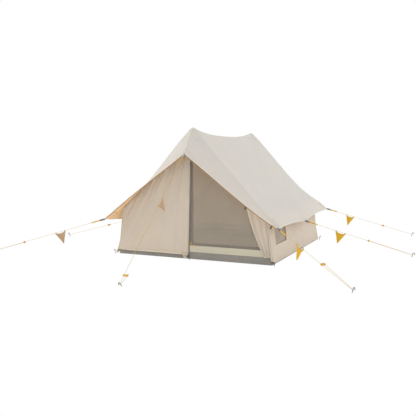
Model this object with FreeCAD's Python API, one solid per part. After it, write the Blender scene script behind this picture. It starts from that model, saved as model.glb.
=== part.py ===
import FreeCAD, Part
import math
import os

os.makedirs("parts", exist_ok=True)
V = FreeCAD.Vector

# Two-pole ridge tent. Millimetres. +Z up, +X to the right seen from the front, the front faces -Y.
# Main sizes
PEAK_Z = 1800.0        # top of the canopy over each pole
PEAK_Y = 1190.0        # half the distance between the poles
RIDGE_SAG = 95.0       # how far the ridge hangs below the peaks at its middle
EAVE_X = 1295.0        # eave corner, half width
EAVE_Y = 1425.0        # eave corner, half length
EAVE_Z = 508.0         # eave corner height
EAVE_MID_X = 1280.0    # eave at the side guy, half width
EAVE_MID_Z = 455.0     # eave height at the side guy
TIP_Y = 1450.0         # tip of each end hood, half length
TIP_Z = 1440.0         # height of the hood tip
SEAM_BOW_Y = 120.0     # how far the wall pulls each hip seam back
SEAM_BOW_Z = 60.0      # and down
HEM_SAG = 35.0         # sag of the front hood's right hem; the back ones hang straight
HEM_ARCH = 15.0        # how far its tighter left hem arches up
EAVE_RISE = 15.0       # how far the right eave pulls up between its guys
EAVE_DROP = 25.0       # how far the slacker left eave hangs down between its guys
CLOTH = 3.0            # canopy thickness, measured vertically
WALL_Y = 1225.0        # outer wall plane
MESH_Y = 1213.0        # inner mesh plane
WALL_X0 = 1165.0       # side wall, half width at its foot
WALL_X1 = 1090.0       # side wall, half width at its top
WALL_TOP = 655.0       # height at which WALL_X1 is reached
FLOOR_X = 1162.0       # groundsheet, half width
FLOOR_Y = 1232.0       # groundsheet, half length
UPSTAND = 100.0        # groundsheet upstand height
SILL_TOP = 190.0       # top of the sill band above it
DOOR_FOOT = 50.0       # lower hem of the outer doors
DOOR_TOP = 1380.0      # where the door zips end
ZIP_TOP_X = 14.0       # outer zip edge, left of the centre, at the zip's top
ZIP_FOOT_X = 50.0      # and at the door's foot
MESH_FOOT_X = 990.0    # outer lower corner of the mesh door
POLE_R = 12.5
POLE_UPPER_R = 11.0
POLE_JOIN_Z = 900.0
ROPE_D = 4.0           # guy rope diameter
PEG_D = 8.0            # guy peg rod
FLOOR_PEG_D = 7.0
STRAP = 170.0          # from the canopy to the end of the webbing strap


def save(name, solids):
    shape = solids[0] if len(solids) == 1 else Part.makeCompound(solids)
    shape.exportStep("parts/" + name + ".step")
    print(name, len(solids), round(shape.Volume), shape.isValid())


def lerp(a, b, t):
    return a + (b - a) * t


# ---------------------------------------------------------------- canopy curves

def bow(s):
    """0 at both ends of a hip seam, 1 where the wall pulls it hardest, below its middle."""
    t = s / 0.65 * 0.5 if s < 0.65 else 0.5 + (s - 0.65) / 0.35 * 0.5
    return math.sin(math.pi * t) ** 2 if 0 < t < 1 else 0.0


def seam(s):
    """Front right hip seam from the peak (0) to the eave corner (1)."""
    y = lerp(PEAK_Y, EAVE_Y - 30.0, s) - SEAM_BOW_Y * bow(s)
    z = lerp(PEAK_Z, EAVE_Z, s) - SEAM_BOW_Z * bow(s)
    return V(EAVE_X * s, -y, z)


def hem(s, sag):
    """Front right hem from the hood tip (0) to the eave corner (1)."""
    z = lerp(TIP_Z, EAVE_Z, s) - sag * 6.75 * s * s * (1.0 - s)
    return V((EAVE_X - 8.0) * s, -lerp(TIP_Y, EAVE_Y, s), z)


def ridge(u):
    y = lerp(-PEAK_Y, PEAK_Y, u)
    return V(0.0, y, PEAK_Z - RIDGE_SAG * (1.0 - abs(y / PEAK_Y) ** 2.6))


def eave(u, rise):
    y = lerp(-(EAVE_Y - 30.0), EAVE_Y - 30.0, u)
    t = abs(y) / (EAVE_Y - 30.0)
    x = lerp(EAVE_MID_X, EAVE_X, t) - 28.0 * math.sin(math.pi * t)
    z = lerp(EAVE_MID_Z, EAVE_Z, t) + rise * math.sin(math.pi * t)
    return V(x, y, z)


def roof(u, v, rise):
    """Roof slope, on the right: u runs front to back, v from the ridge to the eave."""
    f = seam(v)
    b = V(f.x, -f.y, f.z)
    r = ridge(u)
    e = eave(u, rise)
    edges = f * (1 - u) + b * u + r * (1 - v) + e * v
    low = eave(0, rise) * (1 - u) * v + eave(1, rise) * u * v
    return edges - ridge(0) * (1 - u) * (1 - v) - ridge(1) * u * (1 - v) - low


def end_hood(s, r, sag):
    """Front right half of an end hood: s from the centre to the corner, r from the seam to the hem."""
    p = seam(s) * (1 - r) + hem(s, sag) * r
    return V(p.x, p.y, p.z - 14.0 * math.sin(math.pi * r) * math.sin(math.pi * min(s, 1.0)))


def slope(u, v):
    return roof(u, v, EAVE_RISE)


def slope_left(u, v):
    return roof(u, v, -EAVE_DROP)


def hood(s, r):
    return end_hood(s, r, HEM_SAG)


def hood_left(s, r):
    return end_hood(s, r, -HEM_ARCH)


def hood_straight(s, r):
    return end_hood(s, r, 0.0)


def slope_of(sx):
    return slope if sx > 0 else slope_left


def hood_of(sx, sy):
    """The two front halves hang differently, the back ones are straight. sy is -1 at the front."""
    if sy > 0:
        return hood_straight
    return hood if sx > 0 else hood_left


def mirrored(p, sx, sy):
    return V(p.x * sx, p.y * sy, p.z)


def sheet(fn, a0, a1, b0, b1, n, m, lift, sx=1, sy=1, on=None):
    """Smooth surface through fn over the given ranges. With on, the points are first laid onto that surface."""
    grid = []
    for i in range(n + 1):
        row = []
        for j in range(m + 1):
            p = mirrored(fn(lerp(a0, a1, i / n), lerp(b0, b1, j / m)), sx, sy)
            if on is not None:
                p = on.value(*on.parameter(p))
            row.append(V(p.x, p.y, p.z + lift))
        grid.append(row)
    surface = Part.BSplineSurface()
    surface.interpolate(grid)
    return surface


def panel(fn, a0, a1, b0, b1, n, m, lift, thick, sx=1, sy=1, on=None):
    """Closed cloth panel: a smooth surface thickened straight down."""
    return sheet(fn, a0, a1, b0, b1, n, m, lift, sx, sy, on).toShape().extrude(V(0, 0, -thick))


def height(x, y):
    """Height of the canopy's upper face over a point, by stepping each panel's two parameters."""
    fns = ((slope_of(x), 0.1, 0.6), (hood_of(x, y), 0.5, 0.2))
    x = abs(x)
    y = -abs(y)
    best = None
    for fn, a, b in fns:
        for step in range(40):
            p = fn(a, b)
            ex, ey = x - p.x, y - p.y
            if abs(ex) + abs(ey) < 0.01:
                break
            h = 1e-4
            pa = (fn(a + h, b) - p) * (1 / h)
            pb = (fn(a, b + h) - p) * (1 / h)
            det = pa.x * pb.y - pb.x * pa.y
            if abs(det) < 1e-6:
                break
            a += 0.8 * (ex * pb.y - pb.x * ey) / det
            b += 0.8 * (pa.x * ey - ex * pa.y) / det
            a = min(max(a, 0.0), 1.0)
            b = min(max(b, 0.0), 1.0)
        p = fn(a, b)
        if abs(p.x - x) + abs(p.y - y) < 1.0:
            best = p.z if best is None else min(best, p.z)
    if best is None:
        raise ValueError("no canopy over %.0f, %.0f" % (x, y))
    return best


def wall_x(z):
    return lerp(WALL_X0, WALL_X1, z / WALL_TOP)


# ---------------------------------------------------------------- flat panels

def flat(points, y0, y1):
    """Upright panel from (x, z) corners, between two Y planes."""
    wire = Part.makePolygon([V(x, y0, z) for x, z in points] + [V(points[0][0], y0, points[0][1])])
    return Part.Face(wire).extrude(V(0, y1 - y0, 0))


def top_line(x0, x1, n, y, gap):
    """Points just under the canopy along an upright plane."""
    out = []
    for i in range(n + 1):
        x = lerp(x0, x1, i / n)
        out.append((x, height(x, y) - CLOTH - gap))
    return out


def box(x0, x1, y0, y1, z0, z1):
    return Part.makeBox(x1 - x0, y1 - y0, z1 - z0, V(x0, y0, z0))


def turned(shape):
    """The same piece at the back, turned half round the vertical axis."""
    other = shape.copy()
    other.rotate(V(0, 0, 0), V(0, 0, 1), 180)
    return other


def tube_on(points, diameter):
    """Round rod or cord along corner points, straight runs joined by tangent arcs."""
    edges = []
    radii = []
    start = points[0]
    for i in range(1, len(points) - 1):
        a, p, b = points[i - 1], points[i], points[i + 1]
        d0 = (p - a).normalize()
        d1 = (b - p).normalize()
        turn = d0.getAngle(d1)
        if turn < 1e-4:
            continue
        shorter = min((p - a).Length, (b - p).Length)
        back = 0.45 * shorter
        radius = back / math.tan(turn / 2)
        radii.append(round(radius, 1))
        q0 = p - d0 * back
        q1 = p + d1 * back
        across = (d1 - d0).normalize()
        centre = p + across * (radius / math.cos(turn / 2))
        mid = centre - across * radius
        edges.append(Part.LineSegment(start, q0).toShape())
        edges.append(Part.Arc(q0, mid, q1).toShape())
        start = q1
    edges.append(Part.LineSegment(start, points[-1]).toShape())
    wire = Part.Wire(edges)
    first = (points[1] - points[0]).normalize()
    ring = Part.Wire([Part.Circle(points[0], first, diameter / 2).toShape()])
    solid = wire.makePipeShell([ring], True, False)
    want = wire.Length * math.pi * diameter * diameter / 4
    return solid, wire.Length, radii, solid.Volume / want


# ---------------------------------------------------------------- canopy

def make_canopy():
    gap = 0.0004
    roofs = {}
    for name, sx in (("roof_slope_right", 1), ("roof_slope_left", -1)):
        roofs[sx] = sheet(slope_of(sx), 0.0008, 0.9992, gap, 1, 16, 16, 0, sx, 1)
        save(name, [roofs[sx].toShape().extrude(V(0, 0, -CLOTH))])
    for name, sx, sy in (("front_hood_right", 1, 1), ("front_hood_left", -1, 1),
                         ("back_hood_right", 1, -1), ("back_hood_left", -1, -1)):
        save(name, [panel(hood_of(sx, -sy), gap, 1, 0.010, 1, 16, 6, 0, CLOTH, sx, sy)])
    caps = []
    tips = []
    corners = []
    sides = []
    for sx in (1, -1):
        for sy in (1, -1):
            u0, u1 = (0.001, 0.05)
            caps.append(panel(slope_of(sx), u0, u1, 0.001, 0.09, 4, 4, 3.0, 2.0, sx, sy))
            caps.append(panel(hood_of(sx, -sy), 0.001, 0.09, 0.004, 0.22, 4, 4, 3.0, 2.0, sx, sy))
            tips.append(panel(hood_of(sx, -sy), 0.001, 0.10, 0.80, 0.995, 4, 4, 3.0, 2.0, sx, sy))
            corners.append(panel(slope_of(sx), 0.001, 0.05, 0.91, 0.995, 4, 4, 3.0, 2.0, sx, sy))
        sides.append(panel(slope_of(sx), 0.475, 0.525, 0.93, 0.990, 6, 4, 3.2, 2.0, sx, 1, roofs[sx]))
    save("peak_caps", caps)
    save("guy_point_patches", tips + corners + sides)


# ---------------------------------------------------------------- walls and doors

def zip_x(z):
    """X of the closed outer door's free edge at a height."""
    return -lerp(ZIP_FOOT_X, ZIP_TOP_X, (z - DOOR_FOOT) / (DOOR_TOP - DOOR_FOOT))


def make_front():
    y0, y1 = -WALL_Y - 1.0, -WALL_Y + 1.0
    a = (-ZIP_TOP_X, DOOR_TOP)
    b = (-ZIP_FOOT_X, DOOR_FOOT)
    c = (-1105.0, DOOR_FOOT)
    save("front_door_left", [flat([b, a, c], y0, y1)])
    top = top_line(-ZIP_TOP_X, -WALL_X1 + 4.0, 16, -WALL_Y - 1.0, 2.5)
    edge = [(-wall_x(z) + 4.0, z) for z in (480.0, 300.0, 150.0, DOOR_FOOT)]
    fixed = top + edge + [(c[0] - 3.0, DOOR_FOOT), (a[0], a[1] + 3.5)]
    left = flat(fixed, y0, y1)
    strip = top_line(32.0, WALL_X1 - 4.0, 16, -WALL_Y - 1.0, 2.5)
    low = [(x, z - 24.0) for x, z in reversed(strip)]
    right = strip + [(wall_x(z) - 4.0, z) for z in (480.0, 300.0, 150.0, DOOR_FOOT)]
    right += [(wall_x(z) - 28.0, z) for z in (DOOR_FOOT, 150.0, 300.0, 480.0)] + low[1:]
    save("front_wall_panels", [left, flat(right, y0, y1)])
    stowed = top_line(60.0, 1050.0, 14, -WALL_Y - 24.0, 8.0)
    stowed += [(wall_x(480.0) - 34.0, 480.0), (wall_x(100.0) - 34.0, 100.0)]
    stowed += [(1052.0, 92.0), (790.0, 765.0), (60.0, 1560.0)]
    save("front_door_right_stowed", [flat(stowed, -WALL_Y - 22.0, -WALL_Y - 2.0)])
    high = zip_x(DOOR_TOP - 60.0)
    low = zip_x(DOOR_FOOT + 4.0)
    edge = [(low - 6.0, DOOR_FOOT + 4.0), (low + 18.0, DOOR_FOOT + 4.0)]
    edge += [(high + 8.0, DOOR_TOP - 60.0), (high - 6.0, DOOR_TOP - 60.0)]
    tape = flat(edge, -WALL_Y + 1.5, -WALL_Y + 3.0)
    save("door_zip_tape", [tape])
    print("door hinge from", a, "to", c)


def make_back():
    y0, y1 = WALL_Y - 1.0, WALL_Y + 1.0
    panels = []
    for name, sx in (("right", 1), ("left", -1)):
        c = (sx * 1105.0, DOOR_FOOT)
        save("back_door_" + name, [flat([(sx * 2.0, DOOR_FOOT), (sx * 2.0, DOOR_TOP), c], y0, y1)])
        top = top_line(sx * 2.0, sx * (WALL_X1 - 4.0), 16, WALL_Y + 1.0, 2.5)
        edge = [(sx * (wall_x(z) - 4.0), z) for z in (480.0, 300.0, 150.0, DOOR_FOOT)]
        low = [(c[0] + sx * 3.0, DOOR_FOOT), (sx * 2.0, DOOR_TOP + 5.0)]
        panels.append(flat(top + edge + low, y0, y1))
    save("back_wall_panels", panels)
    return box(0.5, 14.0, WALL_Y - 3.0, WALL_Y - 1.5, DOOR_FOOT + 4, DOOR_TOP - 60)


def make_mesh(back_tape):
    y0, y1 = -MESH_Y - 0.5, -MESH_Y + 0.5
    foot = SILL_TOP + 15.0
    door = [(1.0, foot), (1.0, DOOR_TOP), (MESH_FOOT_X, foot)]
    save("mesh_door_right", [flat(door, y0, y1)])
    top = top_line(1.0, WALL_X1 - 6.0, 16, -MESH_Y - 0.5, 2.5)
    edge = [(wall_x(z) - 6.0, z) for z in (480.0, 300.0, foot)]
    upper = flat(top + edge + [(MESH_FOOT_X + 3.0, foot), (1.0, DOOR_TOP + 4.0)], y0, y1)
    top = top_line(-1.0, -WALL_X1 + 6.0, 16, -MESH_Y - 0.5, 2.5)
    edge = [(-wall_x(z) + 6.0, z) for z in (480.0, 300.0, foot - 13.0)]
    save("mesh_panels", [upper, flat(top + edge + [(-1.0, foot - 13.0)], y0, y1)])
    t0, t1 = -MESH_Y - 3.0, -MESH_Y - 1.0
    fixed = [(-20.0, SILL_TOP + 1.0), (MESH_FOOT_X, SILL_TOP + 1.0), (MESH_FOOT_X, foot - 1.5)]
    fixed += [(-1.0, foot - 1.5), (-1.0, DOOR_TOP), (-20.0, DOOR_TOP)]
    save("fixed_zip_tapes", [flat(fixed, t0, t1), back_tape])
    own = [(1.0, foot), (MESH_FOOT_X - 28.0, foot), (MESH_FOOT_X - 46.0, foot + 18.0), (20.0, foot + 18.0)]
    own += [(20.0, DOOR_TOP - 26.0), (1.0, DOOR_TOP - 4.0)]
    save("mesh_zip_tape_door", [flat(own, t0, t1)])


def make_sides():
    for name, sx in (("side_wall_right", 1), ("side_wall_left", -1)):
        foot_z = 12.0
        pts = [(-WALL_Y + 6.0, foot_z), (WALL_Y - 6.0, foot_z)]
        tops = []
        for i in range(13):
            y = lerp(WALL_Y - 6.0, -WALL_Y + 6.0, i / 12)
            z = height(sx * (WALL_X1 + 8.0), y) - CLOTH - 3.0
            tops.append((y, z))
        pts += tops
        ring = [V(sx * wall_x(z), y, z) for y, z in pts]
        wall = Part.Face(Part.makePolygon(ring + [ring[0]])).extrude(V(sx * 2.0, 0, 0))
        hole = box(sx * 1127.0 - 60.0, sx * 1127.0 + 60.0, -1020.0, -530.0, 240.0, 450.0)
        save(name, [wall.cut(hole)])
    windows = []
    for sx in (1, -1):
        pts = [(-1032.0, 228.0), (-518.0, 228.0), (-518.0, 462.0), (-1032.0, 462.0)]
        ring = [V(sx * (wall_x(z) - 2.0), y, z) for y, z in pts]
        windows.append(Part.Face(Part.makePolygon(ring + [ring[0]])).extrude(V(sx * 1.0, 0, 0)))
    save("window_meshes", windows)


def make_ground():
    plate = box(-FLOOR_X, FLOOR_X, -FLOOR_Y, FLOOR_Y, 0, 2.0)
    ux, uy = 1142.0, 1219.0
    outer = box(-ux, ux, -uy, uy, 0, UPSTAND)
    inner = box(-ux + 2, ux - 2, -uy + 2, uy - 2, -1, UPSTAND + 1)
    save("groundsheet", [plate.fuse(outer.cut(inner)).removeSplitter()])
    y0 = -uy + 0.0
    front = box(-ux, ux, y0, y0 + 2.0, UPSTAND + 0.3, SILL_TOP)
    save("sill_bands", [front, turned(front)])


# ---------------------------------------------------------------- small fittings

def slider(x, y, z, width, tall, down):
    """Zip slider body with its flat pull hanging in front."""
    body = box(x - width / 2, x + width / 2, y - 4.0, y, z, z + tall)
    pull = box(x - 3.0, x + 3.0, y - 5.4, y - 4.0, z - down, z + tall * 0.6)
    return body.fuse(pull).removeSplitter()


def make_zips():
    save("door_zip_slider", [slider(zip_x(1295.0) + 6.0, -WALL_Y + 1.0, 1288.0, 10.0, 14.0, 38.0)])
    base = -MESH_Y - 3.4
    save("mesh_zip_slider_upright", [slider(-6.5, base, 222.0, 11.0, 14.0, 34.0)])
    save("mesh_zip_slider_foot", [slider(30.0, base, SILL_TOP + 1.6, 14.0, 11.0, 34.0)])
    save("back_zip_slider", [turned(slider(-7.5, -WALL_Y - 1.4, 70.0, 10.0, 14.0, 12.0))])


def make_toggles():
    bars = []
    loops = []
    for x, z in ((795.0, 742.0), (1142.0, 502.0)):
        bars.append(Part.makeCylinder(6.0, 42.0, V(x - 14.0, -WALL_Y - 31.0, z - 14.0), V(0.7, 0, 0.7)))
        top = height(x + 6.0, -WALL_Y - 24.3) - CLOTH - 3.0
        loops.append(box(x - 6.0, x + 6.0, -WALL_Y - 24.3, -WALL_Y - 22.3, z - 24.0, top))
    save("door_toggles", bars + loops)


def hook_peg(foot, up, out, neck, rod):
    """Bent-rod peg cut off at ground level: foot on the ground, up its lean, out the hook's side."""
    a = foot - up * 40.0
    b = foot + up * neck
    c = b + out * 24.0
    d = c - up * 22.0
    solid, length, radii, share = tube_on([a, b, c, d], rod)
    ground = Part.makeBox(200, 200, 100, V(foot.x - 100, foot.y - 100, -100))
    return solid.cut(ground)


def make_floor_pegs():
    pegs = []
    loops = []
    spots = [(0.0, -1.0, 0.0, -FLOOR_Y), (0.0, 1.0, 0.0, FLOOR_Y), (1.0, 0.0, FLOOR_X, 0.0), (-1.0, 0.0, -FLOOR_X, 0.0)]
    q = math.sqrt(0.5)
    for sx in (1, -1):
        for sy in (1, -1):
            spots.append((sx * q, sy * q, sx * (FLOOR_X - 8.0), sy * (FLOOR_Y - 8.0)))
    for dx, dy, ex, ey in spots:
        out = V(dx, dy, 0)
        edge = V(ex, ey, 0)
        foot = edge + out * 62.0
        pegs.append(hook_peg(foot, V(0, 0, 1), out, 58.0, FLOOR_PEG_D))
        side = V(-dy, dx, 0)
        z = V(0, 0, 8.0)
        r = 7.0
        far = foot + out * (r * 0.2) + z
        near = edge + out * 3.5 + z
        h = 1.1547 * r
        pts = [near + side * r, far + side * r]
        pts += [far + side * r + out * h * 0.5, far + out * h, far - side * r + out * h * 0.5]
        pts += [near - side * r]
        ring, length, radii, share = tube_on([pts[0], pts[2], pts[3], pts[4], pts[5]], 3.0)
        loops.append(ring)
    save("floor_pegs", pegs)
    save("floor_peg_loops", loops)


def make_poles():
    lower = []
    upper = []
    tops = []
    feet = []
    for sy in (1, -1):
        y = sy * PEAK_Y
        tube = Part.makeCylinder(POLE_R, POLE_JOIN_Z - 14.0, V(0, y, 14.0))
        lower.append(tube.cut(Part.makeCylinder(POLE_R - 1.2, POLE_JOIN_Z, V(0, y, 10.0))))
        rod = Part.makeCylinder(POLE_UPPER_R, 1752.0 - 780.0, V(0, y, 780.0))
        bore = Part.makeCylinder(POLE_UPPER_R - 1.2, 1100.0, V(0, y, 770.0))
        upper.append(rod.cut(bore))
        plug = Part.makeCylinder(POLE_UPPER_R - 1.5, 30.0, V(0, y, 1722.0))
        cone = Part.makeCone(POLE_UPPER_R, 2.5, 26.0, V(0, y, 1752.3))
        tops.append(plug.fuse(cone).fuse(Part.makeCylinder(5.0, 2.0, V(0, y, 1751.0))).removeSplitter())
        disc = Part.makeCylinder(24.0, 8.0, V(0, y, 2.0))
        collar = Part.makeCylinder(POLE_R + 3.5, 4.0, V(0, y, 10.0))
        peg = Part.makeCylinder(POLE_R - 1.6, 30.0, V(0, y, 10.0))
        feet.append(disc.fuse(collar).fuse(peg).removeSplitter())
    save("pole_lower_sections", lower)
    save("pole_upper_sections", upper)
    save("pole_ends", tops + feet)


# ---------------------------------------------------------------- guy lines

# name, canopy point, peg on the ground, runner distance from the canopy point, pennant start or None
GUYS = [
    ("front", V(0, -TIP_Y, TIP_Z), V(0, -3030, 0), 2000.0, 795.0),
    ("front_right", V(EAVE_X, -EAVE_Y, EAVE_Z), V(2360, -2285, 0), 905.0, 401.0),
    ("front_left", V(-EAVE_X, -EAVE_Y, EAVE_Z), V(-2790, -2230, 0), 1150.0, 560.0),
    ("side_right", V(EAVE_MID_X, 0, EAVE_MID_Z), V(2765, 143, 0), 936.0, 451.0),
    ("side_left", V(-EAVE_MID_X, 0, EAVE_MID_Z), V(-2877, -140, 0), 850.0, None),
    ("back_right", V(EAVE_X, EAVE_Y, EAVE_Z), V(2595, 2318, 0), 1078.0, 356.0),
    ("back_left", V(-EAVE_X, EAVE_Y, EAVE_Z), V(-2595, 2318, 0), 1000.0, 400.0),
    ("back", V(0, TIP_Y, TIP_Z), V(0, 3030, 0), 1860.0, 795.0),
]
LOOP_R = 7.0           # rope loop round the peg, to the rope's centre
HOLE_GAP = 42.0        # between the runner's two holes
RUNNER_R = 13.0        # half its width
RUNNER_T = 7.0         # half its thickness


def guy_axes(anchor, peg):
    d = (peg + V(0, 0, 32.0) - anchor)
    length = d.Length
    d = d.normalize()
    side = V(0, 0, 1).cross(d).normalize()
    down = d.cross(side).normalize()
    if down.z > 0:
        down = down * -1.0
    return d, side, down, length


def slab(origin, d, side, down, a0, a1, b0, b1, c0, c1):
    """Block in a guy line's own axes: along, sideways, down."""
    p = [origin + d * a0 + side * b + down * c for b, c in ((b0, c0), (b1, c0), (b1, c1), (b0, c1))]
    return Part.Face(Part.makePolygon(p + [p[0]])).extrude(d * (a1 - a0))


def rod(origin, axis, r, a0, a1):
    return Part.makeCylinder(r, a1 - a0, origin + axis * a0, axis)


def make_pennant(anchor, d, side, down, at):
    """Scalloped triangle hanging from two short sleeves threaded on the rope."""
    wide, drop = 148.0, 178.0
    o = anchor + d * at - side * 0.6
    left = o + down * 7.0
    right = o + d * wide + down * 7.0
    tip = o + d * (wide / 2) + down * drop
    dip = o + d * (wide / 2) + down * 22.0
    arc = Part.Arc(left, dip, right).toShape()
    edges = [arc, Part.LineSegment(right, tip).toShape(), Part.LineSegment(tip, left).toShape()]
    flag = Part.Face(Part.Wire(edges)).extrude(side * 1.2)
    solids = [flag]
    for a in (2.0, wide - 16.0):
        q = anchor + d * (at + a)
        sleeve = rod(q, d, 4.4, 0, 14.0).cut(rod(q, d, ROPE_D / 2 + 0.3, -1, 15.0))
        stem = slab(q, d, side, down, 0, 14.0, -0.6, 0.6, 3.6, 22.0)
        keep = rod(q, d, 3.6, -1, 15.0)
        solids.append(sleeve)
        solids.append(stem.cut(keep))
    shape = solids[0]
    for s in solids[1:]:
        shape = shape.fuse(s)
    return shape.removeSplitter()


def make_guys():
    tabs = []
    straps = []
    pegs = []
    for name, anchor, peg, run_at, pen_at in GUYS:
        d, side, down, length = guy_axes(anchor, peg)
        tabs.append(slab(anchor, d, side, down, 8.0, 52.0, -12.0, 12.0, -1.0, 1.0))
        straps.append(slab(anchor, d, side, down, 52.3, STRAP, -9.0, 9.0, -0.8, 0.8))
        end = length
        hole2 = anchor + d * run_at + side * HOLE_GAP
        turn_end = anchor + d * (end + 0.577 * LOOP_R) + side * 2 * LOOP_R
        lean = (hole2 - turn_end).normalize()
        tail = hole2 + lean * 15.0
        pts = [anchor + d * (STRAP + 0.5)]
        pts.append(anchor + d * (end + 0.577 * LOOP_R))
        pts.append(anchor + d * (end + 1.155 * LOOP_R) + side * LOOP_R)
        pts.append(turn_end)
        pts.append(tail)
        rope, long, radii, share = tube_on(pts, ROPE_D)
        save("guy_line_" + name, [rope])
        print("   length", round(long, 1), "arc radii", radii, "volume share", round(share, 4))
        hub = anchor + d * run_at
        body = slab(hub, d, side, down, -RUNNER_T, RUNNER_T, 0.0, HOLE_GAP, -RUNNER_R, RUNNER_R)
        for at in (hub, hub + side * HOLE_GAP):
            body = body.fuse(rod(at, d, RUNNER_R, -RUNNER_T, RUNNER_T))
        body = body.cut(rod(hub, d, ROPE_D / 2 + 0.3, -9, 9))
        body = body.cut(rod(hub + side * HOLE_GAP, lean, ROPE_D / 2 + 0.3, -14, 14))
        save("runner_" + name, [body.removeSplitter()])
        if pen_at is not None:
            save("pennant_" + name, [make_pennant(anchor, d, side, down, pen_at)])
        up = down * -1.0
        loop_centre = anchor + d * end + side * LOOP_R
        foot = loop_centre - up * (loop_centre.z / up.z)
        away = V(d.x, d.y, d.z)
        pegs.append(hook_peg(foot, up, away, (loop_centre - foot).Length + 34.0, PEG_D))
        print("   rope axis", [round(t, 5) for t in d], "hub mm", [round(t, 1) for t in hub])
        print("   side", [round(t, 5) for t in side], "down", [round(t, 5) for t in down], "len", round(length, 1))
    save("guy_tabs", tabs)
    save("guy_straps", straps)
    save("guy_pegs", pegs)


make_canopy()
make_front()
make_mesh(make_back())
make_sides()
make_ground()
make_zips()
make_toggles()
make_floor_pegs()
make_poles()
make_guys()
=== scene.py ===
import math

import bmesh
import bpy
import numpy as np
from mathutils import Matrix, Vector, noise


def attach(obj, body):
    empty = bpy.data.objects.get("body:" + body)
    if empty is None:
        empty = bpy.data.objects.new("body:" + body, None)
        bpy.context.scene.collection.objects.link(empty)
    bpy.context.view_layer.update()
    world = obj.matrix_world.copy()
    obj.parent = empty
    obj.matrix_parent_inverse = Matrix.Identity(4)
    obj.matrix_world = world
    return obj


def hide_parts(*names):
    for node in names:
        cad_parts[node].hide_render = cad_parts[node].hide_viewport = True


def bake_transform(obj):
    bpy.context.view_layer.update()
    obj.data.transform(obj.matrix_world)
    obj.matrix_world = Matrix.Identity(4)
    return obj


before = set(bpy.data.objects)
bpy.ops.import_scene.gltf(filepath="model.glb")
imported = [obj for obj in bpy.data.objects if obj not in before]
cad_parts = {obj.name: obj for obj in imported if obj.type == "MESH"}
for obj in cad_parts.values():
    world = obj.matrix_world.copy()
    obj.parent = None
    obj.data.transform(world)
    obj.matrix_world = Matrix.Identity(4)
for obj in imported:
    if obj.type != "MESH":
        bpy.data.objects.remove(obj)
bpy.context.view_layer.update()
V = Vector
scene = bpy.context.scene

# ---------------------------------------------------------------- camera and light

cam_data = bpy.data.cameras.new("camera")
cam_data.lens = 49.431
cam_data.sensor_width = 36.0
camera = bpy.data.objects.new("camera", cam_data)
camera.location = (3.3552, -8.2181, 1.4407)
camera.rotation_euler = (math.radians(90.0 - 5.4228), 0.0, math.radians(23.9601))
scene.collection.objects.link(camera)
scene.camera = camera
scene.view_settings.view_transform = "Standard"

# ---------------------------------------------------------------- sizes, in metres, as in the CAD

PEAK_Z, PEAK_Y, RIDGE_SAG = 1.800, 1.190, 0.095
EAVE_X, EAVE_Y, EAVE_Z = 1.295, 1.425, 0.508
EAVE_MID_X, EAVE_MID_Z = 1.280, 0.455
TIP_Y, TIP_Z = 1.450, 1.440
SEAM_BOW_Y, SEAM_BOW_Z = 0.120, 0.060
HEM_SAG, HEM_ARCH = 0.035, 0.015
EAVE_RISE, EAVE_DROP = 0.015, 0.025
WALL_Y, MESH_Y = 1.225, 1.213
WALL_X0, WALL_X1, WALL_TOP = 1.165, 1.090, 0.655
FLOOR_X, FLOOR_Y = 1.162, 1.232
UPSTAND, SILL_TOP = 0.100, 0.190
DOOR_FOOT, DOOR_TOP = 0.050, 1.380
ZIP_TOP_X, ZIP_FOOT_X, MESH_FOOT_X = 0.014, 0.050, 0.990
MESH_SILL = SILL_TOP + 0.015
ROPE_D = 0.004
STRAP, LOOP_R, HOLE_GAP = 0.170, 0.007, 0.042
HEM_FOOT = 0.058      # lower edge of the doors' hems, just above the CAD door's
HEM = 0.022           # width of a door's sewn hem
HALVES = (0.0, 0.5, 1.0)


def lerp(a, b, t):
    return a + (b - a) * t


def smooth(t):
    t = min(max(t, 0.0), 1.0)
    return t * t * (3.0 - 2.0 * t)


def bow(s):
    t = s / 0.65 * 0.5 if s < 0.65 else 0.5 + (s - 0.65) / 0.35 * 0.5
    return math.sin(math.pi * t) ** 2 if 0 < t < 1 else 0.0


def seam(s):
    """Front right hip seam, from the peak to the eave corner."""
    y = lerp(PEAK_Y, EAVE_Y - 0.030, s) - SEAM_BOW_Y * bow(s)
    z = lerp(PEAK_Z, EAVE_Z, s) - SEAM_BOW_Z * bow(s)
    return V((EAVE_X * s, -y, z))


def hem(s, sag):
    """Front right hem, from the hood tip to the eave corner."""
    z = lerp(TIP_Z, EAVE_Z, s) - sag * 6.75 * s * s * (1.0 - s)
    return V(((EAVE_X - 0.008) * s, -lerp(TIP_Y, EAVE_Y, s), z))


def ridge(u):
    y = lerp(-PEAK_Y, PEAK_Y, u)
    return V((0.0, y, PEAK_Z - RIDGE_SAG * (1.0 - abs(y / PEAK_Y) ** 2.6)))


def eave(u, rise):
    y = lerp(-(EAVE_Y - 0.030), EAVE_Y - 0.030, u)
    t = abs(y) / (EAVE_Y - 0.030)
    x = lerp(EAVE_MID_X, EAVE_X, t) - 0.028 * math.sin(math.pi * t)
    z = lerp(EAVE_MID_Z, EAVE_Z, t) + rise * math.sin(math.pi * t)
    return V((x, y, z))


def roof(u, v, rise):
    """Roof slope, on the right: u runs front to back, v from the ridge to the eave."""
    f = seam(v)
    b = V((f.x, -f.y, f.z))
    edges = f * (1 - u) + b * u + ridge(u) * (1 - v) + eave(u, rise) * v
    low = eave(0, rise) * (1 - u) * v + eave(1, rise) * u * v
    return edges - ridge(0) * (1 - u) * (1 - v) - ridge(1) * u * (1 - v) - low


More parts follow.
